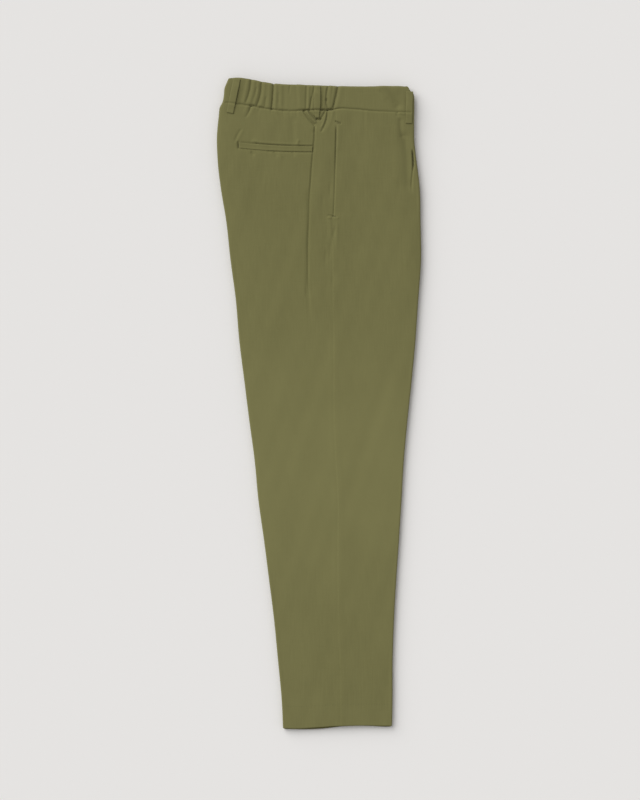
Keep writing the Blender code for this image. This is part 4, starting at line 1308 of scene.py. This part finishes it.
@dataclass
class Strip:
    """A folded strip with rounded long edges that is sewn on the cloth."""

    name: str
    node: str
    high: Place
    low: Place
    width: float = 0.0108
    thick: float = 0.0015
    arch: float = 0.0        # how far a loop stands off the cloth in its middle
    narrow_low: float = 1.0  # share of the width left at its low end
    bow: float = 0.0         # how far its middle bends to the side
    gap: float = 0.0002
    bridge: float = 0.0006   # it spans hollows that are deeper than this
    crown: float = 0.0002
    edge_reach: float = 0.0011
    thin_edge: float = 0.06  # share of its thickness left at its very edge
    arch_starts: Range = (0.004, 0.014)
    crowding: float = 0.35   # how much its columns crowd at its long edges
    rows: int = 72
    columns: int = 25

    def rounded(self, distance: Array) -> Array:
        """Return the share of its thickness at a distance from an edge, on a quarter circle."""
        return np.sqrt(1 - (1 - np.clip(distance / self.edge_reach, 0.0, 1.0)) ** 2)

    def mesh(self, cloth: Cloth) -> Mesh:
        """Work out the strip's two faces from the cloth it lies on.

        Args:
            cloth: The cloth.

        Returns:
            The points and the quads.
        """
        along = shares(self.rows, Bunch.BOTH)[:, None]
        across = np.linspace(-1.0, 1.0, self.columns)[None, :]
        across = across * (1 + self.crowding - self.crowding * across**2)
        run_x, run_y = self.low.x - self.high.x, self.low.y - self.high.y
        length = math.hypot(run_x, run_y)
        half = self.width / 2 * (1 + (self.narrow_low - 1) * smoothstep(0.5, 1.0, along))
        beside = across * half + 4 * self.bow * along * (1 - along)
        middle_x = self.high.x + along * run_x + 0 * across
        middle_y = self.high.y + along * run_y + 0 * across
        x, y = middle_x - beside * run_y / length, middle_y + beside * run_x / length
        under = np.maximum(cloth.at(x, y), cloth.at(middle_x, middle_y) - self.bridge)
        from_end = np.minimum(along, 1 - along) * length
        rounded = self.rounded((1 - np.abs(across)) * half) * self.rounded(from_end)
        depth = self.thick / 2 * np.maximum(rounded, self.thin_edge)
        arch = self.arch * smoothstep(*self.arch_starts, from_end) * np.sin(math.pi * along) ** 0.5
        middle = under + self.gap + self.thick / 2 + arch
        crown = self.crown * (1 - across**2) * rounded
        top = np.stack([x, y, middle + depth + crown], -1)
        return wall_mesh(top, np.stack([x, y, middle - depth], -1))

    def lay(self, shop: Workshop) -> tuple[Item, float]:
        """Make the strip and return it with its length."""
        item = shop.keep(self.name, self.mesh(shop.cloth), shop.linen)
        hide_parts(self.node)
        return item, math.dist(self.high, self.low)


@dataclass
class BeltLoop(Strip):
    """A belt loop, tacked to the band's top edge and below its seam."""

    def build(self, shop: Workshop) -> None:
        """Build the loop."""
        item, length = self.lay(shop)


@dataclass
class BackWelt(Strip):
    """The welt of the back pocket, along the pocket's mouth."""

    def build(self, shop: Workshop) -> None:
        """Build the welt; the real welt is cut twice as wide as it shows, and folded lengthwise."""
        item, length = self.lay(shop)


STRIPS = (
    BackWelt("back_pocket_welt", "back_welt", Place(-0.1282, 0.9346), Place(-0.0108, 0.9284),
             width=0.0086, thick=0.0008, bow=-0.0017, crown=0.0003, edge_reach=0.0009,
             rows=130, columns=19),
    BeltLoop("back_belt_loop", "belt_loop_back", Place(-0.1310, 1.0411), Place(-0.1425, 0.9860),
             width=0.0112, arch=0.0012),
    BeltLoop("side_belt_loop", "belt_loop_side", Place(-0.0030, 1.0292), Place(-0.0030, 0.9780),
             arch=0.0013, narrow_low=0.62),
    BeltLoop("front_belt_loop", "belt_loop_front", Place(0.1450, 1.0206), Place(0.1436, 0.9694),
             thick=0.0013, arch=0.0005),
)


@dataclass
class Stitches:
    """A row of stitches on the cloth: a running row, or a close zigzag that makes a bar tack."""

    name: str
    start: Place
    end: Place
    pitch: float = 0.0042
    length: float = 0.0012
    swing: float = 0.0      # half the width of a zigzag
    radius: float = 0.00022
    lift: float = 0.0       # what lies between the cloth and the stitches
    hem: bool = False       # runs along the hem, at its start's height above it
    bulge: float = 0.9      # how far a stitch's middle stands up, in radii
    sink: float = 0.5       # how far its ends sink in, in radii
    thin_end: float = 0.25  # share of its radius at its ends
    rings: int = 6
    corners: int = 6        # the two quads of each cap need six

    def ends(self) -> tuple[Array, Array]:
        """Set the stitches out along the row.

        Returns:
            The two ends of every stitch, as rows of x and y.
        """
        start = np.array(self.start)
        run = np.array(self.end) - start
        size = float(np.hypot(*run))
        along, side = run / size, np.array([-run[1], run[0]]) / size
        first = np.arange(0.0, size - self.length + 1e-9, self.pitch)[:, None]
        swing = side * self.swing * np.where(np.arange(len(first)) % 2 == 0, 1.0, -1.0)[:, None]
        return start + along * first + swing, start + along * (first + self.length) - swing

    def mesh(self, cloth: Cloth) -> Mesh:
        """Lay each stitch on the cloth as a short rounded thread that dips in at both ends.

        Args:
            cloth: The cloth.

        Returns:
            The points and the quads of all the stitches.
        """
        low, high = self.ends()
        share = np.linspace(0.0, 1.0, self.rings)[None, :, None]
        middle = low[:, None, :] + share * (high - low)[:, None, :]
        if self.hem:
            middle[..., 1] = row_y(middle[..., 1], middle[..., 0])
        arc = np.sin(math.pi * share[..., 0])
        above = self.lift + self.radius * (self.bulge * arc - self.sink)
        z = cloth.at(middle[..., 0], middle[..., 1]) + above
        run = (high - low) / np.linalg.norm(high - low, axis=1, keepdims=True)
        side = np.stack([-run[:, 1], run[:, 0]], -1)[:, None, None, :]
        turn = np.arange(self.corners) * 2 * math.pi / self.corners
        thick = self.radius * (self.thin_end + (1 - self.thin_end) * arc**0.5)[..., None]
        ring_xy = middle[:, :, None, :] + side * (thick * np.cos(turn))[..., None]
        ring_z = z[..., None] + thick * np.sin(turn)
        points = np.concatenate([ring_xy, ring_z[..., None]], -1)
        count = self.rings * self.corners
        last = count - self.corners     # first corner of the last ring
        caps = np.array([[0, 5, 4, 3], [0, 3, 2, 1], [last, last + 1, last + 2, last + 3],
                         [last, last + 3, last + 4, last + 5]])
        one = np.concatenate([grid_faces(self.rings, self.corners, ring=True), caps])[:, ::-1]
        quads = (one[None] + count * np.arange(len(low))[:, None, None]).reshape(-1, 4)
        return points.reshape(-1, 3), quads

    def build(self, shop: Workshop) -> None:
        """Sew the row."""
        shop.keep(self.name, self.mesh(shop.cloth), shop.thread)


def bar_tack(name: str, left: Place, right: Place, lift: float = 0.0) -> Stitches:
    """Return a bar tack: a close zigzag of thread from left to right."""
    return Stitches(name, left, right, 0.00055, 0.00055, swing=0.0009, radius=0.00018, lift=lift)


HEM_ROW = HEM + HEM_ALLOWANCE - 0.003
SEWING = (
    Stitches("hem_stitches_back", Place(-0.0500, HEM_ROW), Place(0.0330, HEM_ROW), hem=True),
    Stitches("hem_stitches_front", Place(0.0372, HEM_ROW), Place(0.1100, HEM_ROW), hem=True),
    bar_tack("pocket_tack_low", Place(0.0210, 0.8208), Place(0.0273, 0.8202)),
    bar_tack("pocket_tack_high", Place(0.0272, 0.9706), Place(0.0345, 0.9688)),
    bar_tack("welt_tack_outer", Place(-0.1286, 0.9314), Place(-0.1282, 0.9384), 0.0002),
    bar_tack("back_loop_tack", Place(-0.1470, 0.9894), Place(-0.1388, 0.9876), 0.0016),
    bar_tack("side_loop_tack", Place(-0.0057, 0.9798), Place(-0.0005, 0.9798), 0.0016),
    bar_tack("front_loop_tack", Place(0.1392, 0.9718), Place(0.1482, 0.9716), 0.0014),
)


@dataclass
class Studio:
    """A pale floor, a soft key light from the upper left and a camera straight above."""

    camera_place: Place = Place(0.0016, 0.0056)
    camera_height: float = 4.0
    frame_height: float = 1.2828  # what the picture shows from top to bottom, at the floor
    sensor_mm: float = 36.0
    clip: Range = (0.05, 30.0)
    floor_size: float = 60.0
    floor_drop: float = 0.0002    # keeps the floor clear of the cloth's underside
    floor_colour: str = "#EFEDEB"
    floor_roughness: float = 0.9
    floor_specular: float = 0.1
    sky_colour: str = "#FFFFFF"
    sky_strength: float = 0.436
    key_strength: float = 2.52
    key_distance: float = 5.0
    key_elevation: float = 36.0   # degrees above the floor
    key_turn: float = 135.0       # degrees, anticlockwise from the front creases' side
    key_spread: float = 60.0      # degrees that the light spans, which softens its shadows

    def build(self) -> None:
        """Build the floor, the lights, the sky light and the camera."""
        self.floor()
        self.key_light()
        world = bpy.data.worlds.new("studio")
        world.use_nodes = True
        sky = world.node_tree.nodes["Background"]
        sky.inputs["Color"].default_value = linear(self.sky_colour)
        sky.inputs["Strength"].default_value = self.sky_strength
        bpy.context.scene.world = world
        # The photograph keeps its whites white, so tones are shown as they are, not as on film.
        bpy.context.scene.view_settings.view_transform = "Standard"
        self.camera()

    def place(self, name: str, data: bpy.types.ID) -> Item:
        """Put something in the scene under its name."""
        item = bpy.data.objects.new(name, data)
        bpy.context.scene.collection.objects.link(item)
        return item

    def floor(self) -> None:
        """Lay a floor of matte paper."""
        half, z = self.floor_size / 2, -self.floor_drop
        mesh = bpy.data.meshes.new("floor")
        mesh.from_pydata([(-half, -half, z), (half, -half, z), (half, half, z), (-half, half, z)], [],
                         [(0, 1, 2, 3)])
        material = bpy.data.materials.new("matte_paper_floor")
        material.use_nodes = True
        shader = material.node_tree.nodes["Principled BSDF"]
        shader.inputs["Base Color"].default_value = linear(self.floor_colour)
        shader.inputs["Roughness"].default_value = self.floor_roughness
        shader.inputs["Specular IOR Level"].default_value = self.floor_specular
        mesh.materials.append(material)
        self.place("floor", mesh)

    def key_light(self) -> None:
        """Hang one broad, far light that falls evenly from the upper left."""
        data = bpy.data.lights.new("key", "SUN")
        data.energy = self.key_strength
        data.angle = math.radians(self.key_spread)
        turn, tilt = math.radians(self.key_turn), math.radians(self.key_elevation)
        level = math.cos(tilt)
        towards = Vector((math.cos(turn) * level, math.sin(turn) * level, math.sin(tilt)))
        item = self.place("key", data)
        item.location = self.key_distance * towards
        item.rotation_euler = towards.to_track_quat("Z", "Y").to_euler()

    def camera(self) -> None:
        """Point a camera straight down at the photograph's framing."""
        data = bpy.data.cameras.new("camera")
        data.sensor_fit = "VERTICAL"
        data.sensor_width = data.sensor_height = self.sensor_mm
        data.lens = self.sensor_mm * self.camera_height / self.frame_height
        data.clip_start, data.clip_end = self.clip
        item = self.place("camera", data)
        item.location = (*self.camera_place, self.camera_height)
        bpy.context.scene.camera = item


def main() -> None:
    """Build the studio and the garment's pieces in order."""
    logging.basicConfig(level=logging.INFO, format="%(message)s")
    linen = WovenLinen("washed_olive_linen").make()
    # A darker copy of the linen for the under leg and the far band: painted shade on what lies under the
    # stack.
    inside = WovenLinen("washed_olive_linen_shaded_copy", base="#6A673F").make()
    shop = Workshop(Cloth(), linen, inside, SewingThread().make(), pattern_shift())
    Studio().build()
    pieces = (
        LeftLeg(),
        FarWaistband(),
        LegPanel(Side.FRONT, "right_front_panel", "right_front"),
        LegPanel(Side.BACK, "right_back_panel", "right_back"),
        BandPart(Side.FRONT, "flat_waistband", "waistband_front"),
        BandPart(Side.BACK, "elastic_waistband", "waistband_back", columns=250),
        *STRIPS,
        *SEWING,
    )
    for piece in pieces:
        piece.build(shop)


if __name__ == "__main__":
    main()
